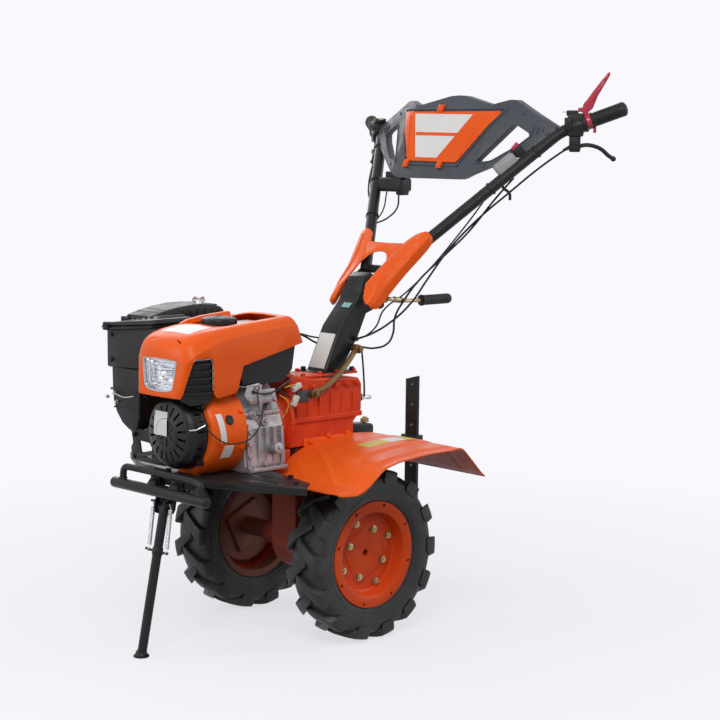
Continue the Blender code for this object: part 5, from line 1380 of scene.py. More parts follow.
def fender_z(x, y):
    """The pressed sheet: soft bends, a raised crest, a lowered outer border and beads."""
    share = (y - FENDER_IN) / (FENDER_OUT - FENDER_IN)
    height = 0.0
    for step in FENDER_STEPS:
        at = max(-0.3, min(0.226, x + step))
        inner, outer = along_line(FENDER_INNER, at), along_line(FENDER_OUTER, at)
        height += (inner + (outer - inner) * share) / len(FENDER_STEPS)
    on_top = ramp(x, -0.205, -0.185) * (1 - ramp(x, 0.06, 0.12))
    height += 0.005 * on_top * ramp(y, 0.15, 0.162) * (1 - ramp(y, 0.288, 0.3))
    height -= 0.0045 * ramp(y, 0.362, 0.371) * ramp(x, -0.205, -0.18)
    for rise, *bead in BEADS:
        height += rise * bead_at(x, y, *bead)
    return height


def fender_front(y):
    """The front edge in plan, with its rounded outer corner."""
    past = max(0.0, y - (FENDER_OUT - FENDER_CORNER))
    return 0.229 - (FENDER_CORNER - math.sqrt(max(0.0, FENDER_CORNER ** 2 - past ** 2))) * 0.75


def fender_sheet(name, columns, rows, low, high, lift, thick):
    """A grid laid on the fender between two (x, y) corners, then given its wall."""
    sheet = added(name, bpy.ops.mesh.primitive_grid_add, x_subdivisions=columns,
        y_subdivisions=rows, size=2)
    for vertex in sheet.data.vertices:
        share, y = (vertex.co.x + 1) / 2, low[1] + (high[1] - low[1]) * (vertex.co.y + 1) / 2
        front = fender_front(y) if high[0] is None else high[0]
        x = low[0] + (front - low[0]) * share
        vertex.co = (x, y, fender_z(x, y) + lift)
    return modified(sheet, "SOLIDIFY", thickness=thick, offset=-1.0, use_even_offset=True)


def build_fenders():
    """Pressed fenders with a hemmed edge, and a bare yellow and white strip on each crest."""
    sheet = fender_sheet("sheet", 84, 52, (-0.3, FENDER_IN), (None, FENDER_OUT), 0.0, 0.0022)
    edge = [(-0.299, FENDER_IN + 0.003 + (FENDER_OUT - FENDER_IN - 0.004) * k / 16)
        for k in range(17)]
    edge += [(-0.299 + (0.15 + 0.299) * k / 40, FENDER_OUT - 0.001) for k in range(1, 40)]
    corner = [FENDER_OUT - 0.001 - FENDER_CORNER * (1 - math.cos(math.pi / 2 * k / 14))
        for k in range(15)]
    edge += [(fender_front(y) - 0.001, y) for y in corner]
    edge += [(0.228, FENDER_OUT - FENDER_CORNER - 0.02 * k) for k in range(1, 13)]
    hem = wire("hem", [(x, y, fender_z(x, y) - 0.0014) for x, y in edge], 0.0024, False, 2)
    flange_y = FENDER_IN + 0.0025
    flange = soft_block("flange", (-0.12, FENDER_IN, 0.5), (0.06, flange_y, 0.5215), 0.0008)
    fender = joined("left_fender_sheet", [sheet, hem, flange, *bolts([(-0.1, flange_y, 0.5235),
        (-0.03, flange_y, 0.5235), (0.04, flange_y, 0.514)], (0, 1, 0), 0.011, 0.005)])
    settle_pair(fender, "orange", 30, "fender")
    yellow = fender_sheet("left_strip", 40, 6, (-0.184, 0.2), (-0.006, 0.25), 0.0004, 0.0003)
    white = fender_sheet("left_strip_middle", 16, 6, (-0.15, 0.2005), (-0.09, 0.2495), 0.0007,
        0.0003)
    settle_pair(yellow, "yellow")
    settle_pair(white, "label")


DECK_HALF = ((0.448, 0.06), (0.436, 0.12), (0.386, 0.25), (0.322, 0.362), (0.262, 0.31),
    (0.222, 0.12))
DECK_TOP = 0.4607


def build_deck():
    """The folded deck plate under the engine, with slots, bolts and a front lip."""
    other = [(x, -y) for x, y in reversed(DECK_HALF)]
    plate = sheet_of("plate", [*DECK_HALF, *other], "Z", DECK_TOP - 0.0045, DECK_TOP)
    slots = [soft_block("slot", (x - 0.006, y - long, 0.44), (x + 0.006, y + long, 0.48), 0.0055,
        4, 60.0) for x, y, long in ((0.33, 0.235, 0.03), (0.33, -0.235, 0.03), (0.292, 0.18, 0.022),
        (0.292, -0.18, 0.022))]
    cut(plate, joined("slots", slots))
    front = sorted(other[2:] + list(DECK_HALF[:4]), key=lambda point: point[1])
    lip = sheet_of("lip", front + [(x - 0.0045, y * 0.992) for x, y in reversed(front)], "Z",
        DECK_TOP - 0.019, DECK_TOP - 0.0012)
    finished("deck_sheet", [eased(plate, 0.0012), eased(lip, 0.0014), *bolts([(x, y, DECK_TOP)
        for x, y in ((0.425, 0.06), (0.425, -0.06), (0.3, 0.3), (0.3, -0.3), (0.252, 0.225),
        (0.252, -0.225))], (0, 0, 1), 0.012, 0.006)], "black", "deck_plate")


def build_bumper():
    """The round bumper, its upper loop, gussets and bolts."""
    tube = bar("tube", (0.503, -0.1965, 0.423), (0.503, 0.1965, 0.423), 0.0145, 32)
    parts = [eased(tube, 0.0085, 5, 60.0), wire("loop", rounded_path([(0.498, -0.16, 0.4245),
        (0.496, -0.16, 0.469), (0.496, 0.16, 0.469), (0.498, 0.16, 0.4245)], 0.034, 8), 0.0092,
        False, 5), *[ring("weld", (0.4985, y, 0.4375), "Z", 0.0098, 0.0026, 24, 8)
        for y in (-0.16, 0.16)]]
    for side in (1, -1):
        gusset = sheet_of("gusset", ((0.4845, 0.418), (0.4985, 0.414), (0.4985, 0.436),
            (0.4845, 0.453)), "Y", side * 0.044 - 0.0145, side * 0.044 + 0.0145)
        parts += [eased(gusset, 0.0014),
            hex_bolt((0.47, side * 0.0635, 0.443), (0, side, 0), 0.012, 0.0062)]
    finished("bumper_tubes", parts, "black", "front_bumper")


STAND_PIN = Vector((0.487, 0, 0.379))
STAND_FOOT = Vector((0.562, 0, 0))
SPRING_TOP = Vector((0.493, 0, 0.392))
SPRING_Y = 0.036
COIL_TURNS, COIL_STEPS = 34, 10


def on_pin(name, half, radius, sides):
    """A bar on the stand's pin, as far out on both sides."""
    reach_out = Vector((0, half, 0))
    return bar(name, STAND_PIN - reach_out, STAND_PIN + reach_out, radius, sides)


def build_bracket():
    """The ears that carry the stand, their bolt and the springs' hook arms."""
    outline = ((0.466, 0.375), (0.471, 0.3655), (0.487, 0.361), (0.502, 0.366), (0.506, 0.379),
        (0.503, 0.4), (0.474, 0.4295), (0.457, 0.4295))
    parts = []
    for side in (1, -1):
        low, high = sorted((side * 0.017, side * 0.021))
        parts += [eased(sheet_of("ear", outline, "Y", low, high), 0.001),
            hex_bolt((STAND_PIN.x, side * 0.021, STAND_PIN.z), (0, side, 0), 0.014, 0.007),
            wire("arm", rounded_path([(0.47, side * 0.021, 0.412), (0.48, side * 0.0225, 0.4),
            (0.4925, side * 0.03, 0.3935), (0.4925, side * 0.045, 0.3935)], 0.006), 0.0034, False)]
    parts += [on_pin("pin", 0.025, 0.005, 20),
        soft_block("cross", (0.457, -0.07, 0.4235), (0.471, 0.07, 0.43), 0.0012),
        soft_block("brace", (0.46, -0.0175, 0.404), (0.465, 0.0175, 0.426), 0.001)]
    finished("stand_ears", parts, "black", "stand_bracket")


def stand_point(z):
    return STAND_FOOT + (STAND_PIN - STAND_FOOT) * (z / STAND_PIN.z)


def build_stand():
    """The leg with its eye, its flared foot, the springs' cross rod, and two coil springs."""
    foot = spun("foot", ((0.0, 0.0), (0.0195, 0.0), (0.021, 0.0012), (0.0208, 0.0042),
        (0.017, 0.0068), (0.015, 0.0105), (0.0138, 0.016), (0.0, 0.0165)), STAND_FOOT, "Z", 40)
    leg = bar("leg", stand_point(0.006), stand_point(0.356), 0.0122, 32)
    eye = cut(eased(on_pin("eye", 0.0145, 0.0122, 32), 0.0012), on_pin("bore", 0.03, 0.0054, 24))
    neck = cut(bar("neck", stand_point(0.34), stand_point(0.376), 0.012, 32),
        on_pin("bore", 0.03, 0.0054, 24))
    collar = soft_bar("collar", stand_point(0.259), stand_point(0.278), 0.0142, 32, 0.0014)
    low = stand_point(0.268)
    cross = wire("cross", rounded_path([low + Vector(step) for step in ((0.004, -0.0455, 0.003),
        (0, -0.04, 0), (0, 0.04, 0), (0.004, 0.0455, 0.003))], 0.003), 0.0034, False)
    finished("stand_tube", [foot, leg, eye, neck, collar, cross], "black", "stand_leg",
        body="front_stand", smooth=40)
    run = low - SPRING_TOP
    aim, side_way = run.normalized(), Vector((0, 1, 0))
    other_way = aim.cross(side_way)
    path = []
    for k in range(COIL_TURNS * COIL_STEPS + 1):
        turn, share = math.tau * k / COIL_STEPS, k / (COIL_TURNS * COIL_STEPS)
        path.append(SPRING_TOP + aim * (0.0125 + (run.length - 0.025) * share)
            + (side_way * math.cos(turn) + other_way * math.sin(turn)) * 0.005)
    for end, sign in ((SPRING_TOP, 1), (low, -1)):
        hook = [end + aim * sign * 0.0125 + side_way * 0.005 * 0.5, end + aim * sign * 0.006,
            end + other_way * 0.0046 + aim * sign * 0.001, end - aim * sign * 0.0044,
            end - other_way * 0.0046 + aim * sign * 0.0004]
        path = path + hook if sign < 0 else hook[::-1] + path
    for side, word in SIDES:
        spring = wire(f"{word}_coil", [point + Vector((0, side * SPRING_Y, 0)) for point in path],
            0.0011, False, 1)
        settle(spring, "steel", f"stand_spring_{word}", smooth=60,
            bend_to=("front_stand", SPRING_TOP, SPRING_TOP.lerp(low, 0.3)))


def build_hitch():
    """The clevis behind the gear case, the low beam, and the socket that holds the depth bar."""
    parts = [soft_block("flange", (-0.1375, -0.045, 0.438), (-0.1303, 0.045, 0.546), 0.0014),
        eased(sheet_of("clevis", ((-0.13, 0.538), (-0.24, 0.53), (-0.247, 0.523), (-0.247, 0.436),
        (-0.13, 0.436)), "Y", -0.023, 0.023), 0.004, 3),
        soft_block("beam", (-0.418, -0.019, 0.438), (-0.24, 0.019, 0.47), 0.003, 3),
        eased(cut(block("socket", (-0.443, -0.0285, 0.418), (-0.409, 0.0285, 0.476)),
        block("channel", (-0.4318, -0.024, 0.4), (-0.4202, 0.024, 0.5))), 0.0012)]
    parts += bolts([(-0.1375, y, z) for y in (-0.036, 0.036) for z in (0.452, 0.534)], (-1, 0, 0),
        0.012, 0.006)
    finished("hitch_beam", parts, "black", "hitch_socket")
    finished("hitch_pins", [
        soft_bar("pin", (-0.232, 0, 0.452), (-0.232, 0, 0.548), 0.0065, 24, 0.0012),
        hex_bolt((-0.232, 0, 0.5335), (0, 0, 1), 0.021, 0.009),
        wire("ring", [(-0.448, 0.006, 0.455), (-0.456, 0.012, 0.441), (-0.454, 0.0, 0.425),
        (-0.45, -0.01, 0.439), (-0.448, -0.004, 0.455)], 0.0015),
        bar("bar_pin", (-0.452, 0, 0.455), (-0.402, 0, 0.455), 0.005, 20),
        soft_bar("bar_pin_head", (-0.404, 0, 0.455), (-0.399, 0, 0.455), 0.0085, 24, 0.0012)],
        "zinc")


# ---------------------------------------------------------------- column and gear lever

COLUMN_SIDE = ((-0.036, 0.6855), (-0.04, 0.692), (-0.098, 0.814), (-0.137, 0.858), (-0.164, 0.885),
    (-0.199, 0.94), (-0.204, 0.892), (-0.201, 0.856), (-0.157, 0.766), (-0.12, 0.714),
    (-0.118, 0.6855))
COLUMN_HALF = 0.0375
PIVOT = Vector((-0.222, 0, 0.925))


def build_column():
    """The folded box column, its foot, head, cheeks and pivot bolt."""
    body = bevelled(sheet_of("body", COLUMN_SIDE, "Y", -COLUMN_HALF, COLUMN_HALF), lambda edge:
        reach(edge, "y") < 0.001 and min(v.co.x for v in edge.verts) > -0.17
        and not edge.is_boundary, 0.006, 4)
    parts = [eased(body, 0.0012, 2, 40.0),
        soft_block("foot", (-0.148, -0.05, 0.6853), (-0.024, 0.05, 0.6935), 0.0016)]
    parts += bolts([(x, y, 0.6935) for x in (-0.138, -0.034) for y in (-0.043, 0.043)], (0, 0, 1),
        0.013, 0.007)
    parts.append(soft_bar("head", (PIVOT.x, -COLUMN_HALF, PIVOT.z), (PIVOT.x, COLUMN_HALF,
        PIVOT.z), 0.03, 40, 0.003, 3))
    parts.append(eased(sheet_of("neck", ((-0.166, 0.872), (-0.192, 0.948), (-0.22, 0.96),
        (-0.248, 0.935), (-0.23, 0.895), (-0.205, 0.864)), "Y", -0.033, 0.033), 0.0045, 3))
    parts.append(bar("pivot_bolt", (PIVOT.x, -0.056, PIVOT.z), (PIVOT.x, 0.056, PIVOT.z), 0.009,
        28))
    parts += [hex_bolt((PIVOT.x, side * 0.05, PIVOT.z), (0, side, 0), 0.022, 0.009)
        for side in (1, -1)]
    ear = sheet_of("ear", ((-0.15, 0.83), (-0.262, 0.868), (-0.272, 0.878), (-0.27, 0.894),
        (-0.256, 0.9), (-0.17, 0.884)), "Y", 0.031, 0.0378)
    knob = spun("knob", ((0.0, 0.0), (0.0085, 0.0), (0.012, 0.003), (0.0125, 0.01), (0.0095, 0.016),
        (0.0, 0.017)), (0, 0, 0), "Y", 28)
    parts += [eased(ear, 0.0012), hex_bolt((-0.154, COLUMN_HALF, 0.778), (0, 1, 0), 0.012, 0.008),
        moved(knob, Vector((-0.242, 0.0378, 0.869)))]
    finished("column_box", parts, "black", "handle_column")
    foot = Vector((-0.04, 0, 0.692))
    aim = (Vector((-0.098, 0, 0.814)) - foot).normalized()
    out = Vector((aim.z, 0, -aim.x))
    low = foot + aim * 0.01
    outline = [low + out * 0.0004, low + aim * 0.103 + out * 0.0004,
        low + aim * 0.103 + out * 0.0016, low + out * 0.0016]
    plate = sheet_of("plate", [(p.x, p.z) for p in outline], "Y", -0.03, 0.03)
    settle(eased(plate, 0.0004), "label")
    low, high = Vector((-0.142, 0.863)), Vector((-0.154, 0.875))
    near, far = Vector((0.0006, 0.0006)), Vector((0.0018, 0.0018))
    settle(sheet_of("tag", [low + near, high + near, high + far, low + far], "Y", -0.005, 0.026),
        "teal")


def build_shift():
    """The gear shift's cast arm and its rod, and the gear lever with its ribbed grip."""
    route = [(0.034, 0.065, 0.648), (0.002, 0.07, 0.653), (-0.045, 0.069, 0.676),
        (-0.096, 0.06, 0.708), (-0.148, 0.048, 0.75)]
    finished("shift_casting", [wire("arm", route, 0.008),
        wire("web", [(x + 0.004, y - 0.002, z - 0.011) for x, y, z in route[1:]], 0.005),
        soft_bar("boss", (-0.15, 0.0378, 0.751), (-0.15, 0.06, 0.751), 0.0125, 28, 0.0015),
        soft_bar("foot", (0.03, 0.06, 0.644), (0.03, 0.079, 0.644), 0.013, 28, 0.0015),
        hex_bolt((-0.15, 0.06, 0.751), (0, 1, 0), 0.014, 0.008),
        hex_bolt((0.03, 0.079, 0.644), (0, 1, 0), 0.014, 0.007)], "bronze", "shift_arm", smooth=45)
    settle(wire("rod", [(-0.156, 0.064, 0.744), (-0.16, 0.066, 0.698), (-0.169, 0.062, 0.626),
        (-0.172, 0.058, 0.616)], 0.0026), "black", smooth=60)
    finished("selector_pin", [
        soft_bar("pin", (-0.16, 0.05, 0.615), (-0.206, 0.048, 0.611), 0.0062, 24, 0.0012),
        hex_bolt((-0.164, 0.05, 0.6147), (-1, 0, 0), 0.018, 0.008)], "steel")
    route = rounded_path([(-0.262, COLUMN_HALF, 0.885), (-0.262, 0.0595, 0.885),
        (-0.33, 0.0595, 0.876), (-0.396, 0.0595, 0.8738)], 0.016)
    finished("gear_rod", [wire("rod", route, 0.006, False, 4),
        soft_bar("sleeve", (-0.282, 0.0595, 0.8824), (-0.318, 0.0595, 0.8776), 0.0085, 24, 0.0012),
        soft_bar("collar", (-0.262, 0.039, 0.885), (-0.262, 0.048, 0.885), 0.013, 28, 0.0012)],
        "zinc", "gear_lever", smooth=45)
    settle(moved(grip_shape("gear_grip", 0.122, 0.0145),
        aimed((-0.393, 0.0595, 0.874), (-1, 0, 0))), "rubber", "gear_lever_grip", smooth=38)


def grip_shape(name, length, radius, ribs=16):
    """A rubber grip along +Z: an end bead, fine ribs and a domed end."""
    profile = [(0.0, 0.0), (radius, 0.0), (radius * 1.1, 0.0012), (radius * 1.1, 0.0052),
        (radius * 0.97, 0.007)]
    start, end = 0.012, length - 0.018
    pitch = (end - start) / ribs
    for k in range(ribs):
        low = start + (end - start) * k / ribs
        profile += [(radius * 0.955, low), (radius * 0.955, low + pitch * 0.25),
            (radius * 1.005, low + pitch * 0.4), (radius * 1.005, low + pitch * 0.85)]
    for k in range(7):
        turn = math.pi / 2 * k / 6
        profile.append((radius * math.cos(turn) if k < 6 else 0.0,
            length - 0.012 + 0.012 * math.sin(turn)))
    return spun(name, profile, (0, 0, 0), "Z", 40)


# ---------------------------------------------------------------- handlebar

FORK_LOW = Vector((-0.27, 0.042, 0.954))
FORK_BEND = {1: Vector((-0.642, 0.354, 1.355)), -1: Vector((-0.622, -0.337, 1.333))}
GRIP_END = {1: Vector((-0.757, 0.497, 1.424)), -1: Vector((-0.725, -0.49, 1.387))}
BAR_RADIUS = 0.0165
SADDLE = (     # along the bars: outer edge, inner edge, height of the inner edge, skirt's foot
    (-0.13, 0.079, 0.067, 0.023, 0.006), (-0.126, 0.085, 0.061, 0.027, -0.002),
    (-0.112, 0.088, 0.054, 0.035, -0.0065), (-0.075, 0.092, 0.0446, 0.046, -0.008),
    (-0.03, 0.0985, 0.045, 0.04, -0.008), (0.01, 0.106, 0.0475, 0.0335, -0.008),
    (0.05, 0.1165, 0.053, 0.03, -0.008), (0.082, 0.1255, 0.063, 0.029, -0.0075),
    (0.104, 0.132, 0.073, 0.0275, -0.006), (0.12, 0.136, 0.082, 0.026, -0.003),
    (0.131, 0.1365, 0.091, 0.0245, 0.003), (0.1375, 0.1335, 0.101, 0.0235, 0.009),
    (0.1405, 0.129, 0.109, 0.0225, 0.014))
SADDLE_RINGS = 44


def framed(first, second, third, place):
    """The matrix that sends a drawing's three axes to these directions, at a place."""
    made = Matrix((first, second, third)).transposed().to_4x4()
    made.translation = place
    return made


def fork_plane():
    """From a flat drawing (Y, along the bars, forward of them) to its place."""
    run = Vector((FORK_BEND[1].x - FORK_LOW.x, 0, FORK_BEND[1].z - FORK_LOW.z)).normalized()
    return framed(AXES["Y"], run, AXES["Y"].cross(run), (FORK_LOW.x, 0, FORK_LOW.z))


def saddle_wing():
    """One wing of the pressed saddle: skirt, rounded edge, raised face with a bead, inner lip."""
    rings = []
    top = BAR_RADIUS + 0.0036
    for k in range(SADDLE_RINGS + 1):
        at = SADDLE[0][0] + (SADDLE[-1][0] - SADDLE[0][0]) * k / SADDLE_RINGS
        _, outer, inside, rise, foot = between(SADDLE, at)
        width = outer - inside
        soft = min(0.0055, width * 0.2)
        bead = 0.0046 * ramp(at, -0.1, -0.06) * (1 - ramp(at, 0.1, 0.125))
        line = [(outer + 0.0012, foot), (outer + 0.0006, foot + (top - foot) * 0.5),
            (outer, top - soft), (outer - soft * 0.25, top - soft * 0.3),
            (outer - soft, top + (rise - top) * soft / width)]
        for share in (0.22, 0.3, 0.38, 0.46, 0.6, 0.72, 0.84, 0.95):
            swell = 0.0035 * math.sin(math.pi * share) * (1 + 0.8 * (1 - ramp(at, -0.1, -0.02)))
            bump = bead if share in (0.3, 0.38) else 0.0
            line.append((outer - width * share, top + (rise - top) * share + swell + bump))
        line += [(inside - 0.0002, rise - 0.0006), (inside - 0.0006, rise - 0.0045),
            (inside + 0.0018, rise - 0.0045)]
        line += [(y - 0.0002, h - 0.0026) for y, h in reversed(line[4:-3])]
        line += [(outer - 0.0024, top - soft - 0.001), (outer - 0.0018, foot)]
        rings.append([(y, at, h) for y, h in line])
    return skinned("wing", rings)


def build_saddle():
    wing = saddle_wing()
    other = cut(copied(wing, "wing", Matrix.Diagonal((-1, 1, 1, 1))),
        bar("hole", (-0.116, 0.112, -0.05), (-0.116, 0.112, 0.1), 0.0045, 16))
    top = [(0.066 - 0.006 * k, 0.09 - 0.0016 * math.sin(math.pi * k / 22)) for k in range(23)]
    half = [(-0.066, 0.03), (-0.05, 0.018), (-0.044, 0.03), (-0.036, 0.043), (-0.026, 0.052),
        (-0.013, 0.057)]
    arch = [*half, (0.0, 0.0585), *((-y, s) for y, s in reversed(half))]
    bridge = eased(sheet_of("bridge", top + arch, "Z", 0.0262, 0.0296), 0.0013)
    lip = wire("lip", [(y, s, 0.0279) for y, s in arch[1:-1]], 0.0022)
    settle(moved(joined("saddle", [wing, other, bridge, lip]), fork_plane()), "orange",
        "handle_cover", body="handlebar", smooth=38)


DASH_BREAK = 0.16
DASH_HALF = ((0.0, 1.459), (0.03, 1.457), (0.128, 1.434), (0.145, 1.431), (0.16, 1.435),
    (0.195, 1.445), (0.212, 1.444), (0.283, 1.403), (0.345, 1.37), (0.35, 1.36), (0.32, 1.32),
    (0.3, 1.306), (0.196, 1.251), (0.136, 1.2215), (0.125, 1.218))
DASH_WINDOW = ((0.161, 1.268), (0.164, 1.276), (0.226, 1.37), (0.236, 1.374), (0.28, 1.35),
    (0.284, 1.342), (0.262, 1.318), (0.205, 1.276), (0.196, 1.272))
WINDOW_MIDDLE = (0.228, 1.325)


def dash_place(made):
    """Bends a flat drawing to the dash: it leans back, and its ends are swept back."""
    for vertex in sliced(made, (-DASH_BREAK, DASH_BREAK)).data.vertices:
        _, y, z = vertex.co
        vertex.co.x += -0.488 - 0.518 * (z - 1.22) - 0.39 * max(0.0, abs(y) - DASH_BREAK)
    return made


def dash_lip(rim, hole, low, high):
    """A raised frame on the dash, between two outlines."""
    return eased(cut(sheet_of("lip", rim, "X", low, high), sheet_of("hole", hole, "X", 0.0, 0.03)),
        0.0014)


def build_dash():
    """The slate dash: a moulded frame with windows, ribs and pockets, and its orange insert."""
    slab = sheet_of("slab", [*DASH_HALF, *[(-y, z) for y, z in reversed(DASH_HALF[1:])]], "X",
        -0.015, 0.01)
    cut(slab, *[sheet_of("window", [(side * y, z) for y, z in DASH_WINDOW], "X", -0.05, 0.05)
        for side in (1, -1)], *[block("pocket", (-0.03, low, 1.25), (0.005, high, z))
        for low, high, z in ((-0.15, -0.055, 1.4), (-0.048, 0.048, 1.42), (0.055, 0.15, 1.4))])
    rim = [(-0.212, 1.421), (0.199, 1.421), (0.095, 1.254), (-0.115, 1.257)]
    parts = [eased(slab, 0.0032, 3, 40.0),
        dash_lip(rim, grown(rim, 0.955, (0.0, 1.338)), 0.008, 0.0135)]
    for side in (1, -1):
        rim, hole = ([(side * y, z) for y, z in grown(DASH_WINDOW, share, WINDOW_MIDDLE)]
            for share in (1.1, 1.005))
        parts.append(dash_lip(rim, hole, 0.0085, 0.0125))
        for k in range(3):
            y = 0.288 + 0.014 * k
            rib = block("rib", (0.009, y - 0.0016, 1.338 + 0.01 * k),
                (0.014, y + 0.0016, 1.372 - 0.004 * k))
            parts.append(eased(moved(rib, ACROSS) if side < 0 else rib, 0.0008))
        parts += [bar("screw", (0.0095, side * y, z), (0.0125, side * y, z), 0.0048, 18)
            for y, z in ((0.245, 1.408), (0.33, 1.35), (0.185, 1.258))]
    settle(dash_place(joined("dash_moulding", parts)), "slate", "dash_frame", body="handlebar")
    insert = sheet_of("insert", ((-0.199, 1.4085), (-0.196, 1.413), (-0.12, 1.412), (0.12, 1.412),
        (0.18, 1.413), (0.184, 1.407), (0.094, 1.272), (0.086, 1.265), (-0.1, 1.268),
        (-0.109, 1.272)), "X", 0.0102, 0.015)
    parts = [eased(insert, 0.0022, 3, 40.0)]
    for y, z, wide in ((-0.047, 1.422, 0.011), (-0.107, 1.262, 0.009), (0.028, 1.26, 0.009)):
        clip = block("clip", (0.009, y - wide, z - 0.012), (0.0185, y + wide, z + 0.01))
        pick(clip, facing((1, 0, 0)))
        bpy.ops.mesh.inset(thickness=0.003, depth=0.0)
        bpy.ops.mesh.extrude_region_move(TRANSFORM_OT_translate={"value": (0.0025, 0, 0)})
        close()
        parts.append(eased(clip, 0.0012))
    parts += [eased(sheet_of("rib", ((y - 0.003, 1.4), (y + 0.003, 1.4), (y * 0.72 + 0.003, 1.28),
        (y * 0.72 - 0.003, 1.28)), "X", 0.0145, 0.0165), 0.0009) for y in (-0.158, 0.128)]
    settle(dash_place(joined("dash_insert", parts)), "orange", "dash_panel", body="handlebar")
    label = sheet_of("bare_label", ((-0.143, 1.406), (0.088, 1.403), (0.008, 1.278),
        (-0.078, 1.279)), "X", 0.0151, 0.0154)
    settle(dash_place(label), "label", body="handlebar")
    stripe = sheet_of("label_stripe", ((-0.113, 1.352), (0.054, 1.35), (0.048, 1.3405),
        (-0.109, 1.3425)), "X", 0.0155, 0.0157)
    settle(dash_place(stripe), "orange", body="handlebar")


def grip_plane(side):
    """From a flat drawing (outwards from a bar's bend, across, up) to its grip's upright plane."""
    run = GRIP_END[side] - FORK_BEND[side]
    run = Vector((run.x, run.y, 0)).normalized()
    return framed(run, AXES["Z"].cross(run), AXES["Z"], FORK_BEND[side])


def along_grip(side, back):
    return GRIP_END[side] - (GRIP_END[side] - FORK_BEND[side]).normalized() * (0.105 + back)


def build_grips():
    """Ribbed grips, lever clamps with their housings, and the steering levers."""
    for side, word in SIDES:
        start = along_grip(side, 0)
        aim = (GRIP_END[side] - start).normalized()
        settle(moved(grip_shape(f"{word}_rubber_grip", 0.105, 0.0205, 18), aimed(start, aim)),
            "rubber", f"{word}_grip", body="handlebar", smooth=38)
        near = along_grip(side, 0.016)
        barrel = soft_bar("barrel", along_grip(side, 0.07), near, 0.024, 40, 0.003, 3)
        flange = soft_bar("flange", near - aim * 0.008, near, 0.0262, 40, 0.0014)
        parts = [soft_block("body", (0.019, -0.0215, -0.013), (0.064, 0.0215, 0.052), 0.006, 4,
            40.0), soft_block("cap", (0.015, -0.017, 0.044), (0.048, 0.017, 0.06), 0.004, 3, 40.0),
            soft_block("low", (0.024, -0.014, -0.056), (0.056, 0.014, -0.008), 0.005, 3, 40.0),
            soft_block("rear", (0.01, -0.026, 0.004), (0.034, -0.012, 0.04), 0.004, 3, 40.0)]
        parts += [hex_bolt((t, lean * edge, up), (0, lean, 0), 0.0085, 0.004, False)
            for t, up, edge in ((0.025, 0.03, 0.0215), (0.056, 0.036, 0.0215),
            (0.03, -0.03, 0.014)) for lean in (1, -1)]
        nose = bar("cable_nose", (0.03, 0, -0.04), (0.008, 0, -0.052), 0.0058, 20, 0.004)
        housing = moved(joined("housing", [*parts, eased(nose, 0.0008)]), grip_plane(side))
        finished(f"{word}_lever_clamp", [barrel, flange, housing], "plastic", f"{word}_clamp",
            body="handlebar")
        lever = wire("lever", [(0.05, 0, -0.04), (0.07, 0, -0.036), (0.09, 0, -0.038),
            (0.114, 0, -0.0475), (0.134, 0, -0.0645), (0.147, 0, -0.073)], 0.0058, True, 4)
        for vertex in lever.data.vertices:
            vertex.co.y *= 1.25 - 3.0 * max(0.0, vertex.co.x - 0.06)
        ball = spun("ball", [(0.0078 * math.sin(math.pi * k / 8), 0.0078
            * -math.cos(math.pi * k / 8)) for k in range(9)], (0.148, 0, -0.0735), "Z", 20)
        settle(moved(joined("lever", [lever, ball]), grip_plane(side)), "black",
            f"{word}_steering_lever", body="handlebar", smooth=50)
        bits = joined(f"{word}_clamp_bolts", [hex_bolt((0.05, 0.014, -0.042), (0, 1, 0), 0.013,
            0.006), soft_block("tab", (0.004, -0.008, 0.054), (0.024, 0.008, 0.0575), 0.0012)])
        settle(moved(bits, grip_plane(side)), "zinc", body="handlebar")


def build_clutch():
    """The red clutch lever on its collar, with its base tab and a small tip below the bar."""
    outline = ((0.064, 0.038), (0.0735, 0.04), (0.0765, 0.056), (0.088, 0.066), (0.101, 0.1),
        (0.118, 0.13), (0.1335, 0.158), (0.134, 0.164), (0.131, 0.167), (0.127, 0.165),
        (0.106, 0.138), (0.086, 0.112), (0.072, 0.091), (0.061, 0.078), (0.0575, 0.06),
        (0.06, 0.05))
    blade = joined("blade", [eased(sheet_of("blade", outline, "Y", -0.0062, 0.0062), 0.0028, 3,
        25.0), soft_block("tab", (0.047, -0.0055, 0.056), (0.064, 0.0055, 0.068), 0.0024, 3),
        soft_block("tip", (0.09, -0.005, -0.002), (0.099, 0.005, 0.03), 0.0024, 3),
        eased(sheet_of("groove", ((0.08, 0.083), (0.088, 0.083), (0.12, 0.14), (0.116, 0.142)),
        "Y", -0.0072, 0.0072), 0.0012)])
    moved(blade, grip_plane(1))
    collar = soft_bar("collar", along_grip(1, 0.0158), along_grip(1, 0.0003), 0.0222, 40, 0.0016)
    finished("clutch_blade", [collar, blade], "red", "clutch_lever", body="handlebar")


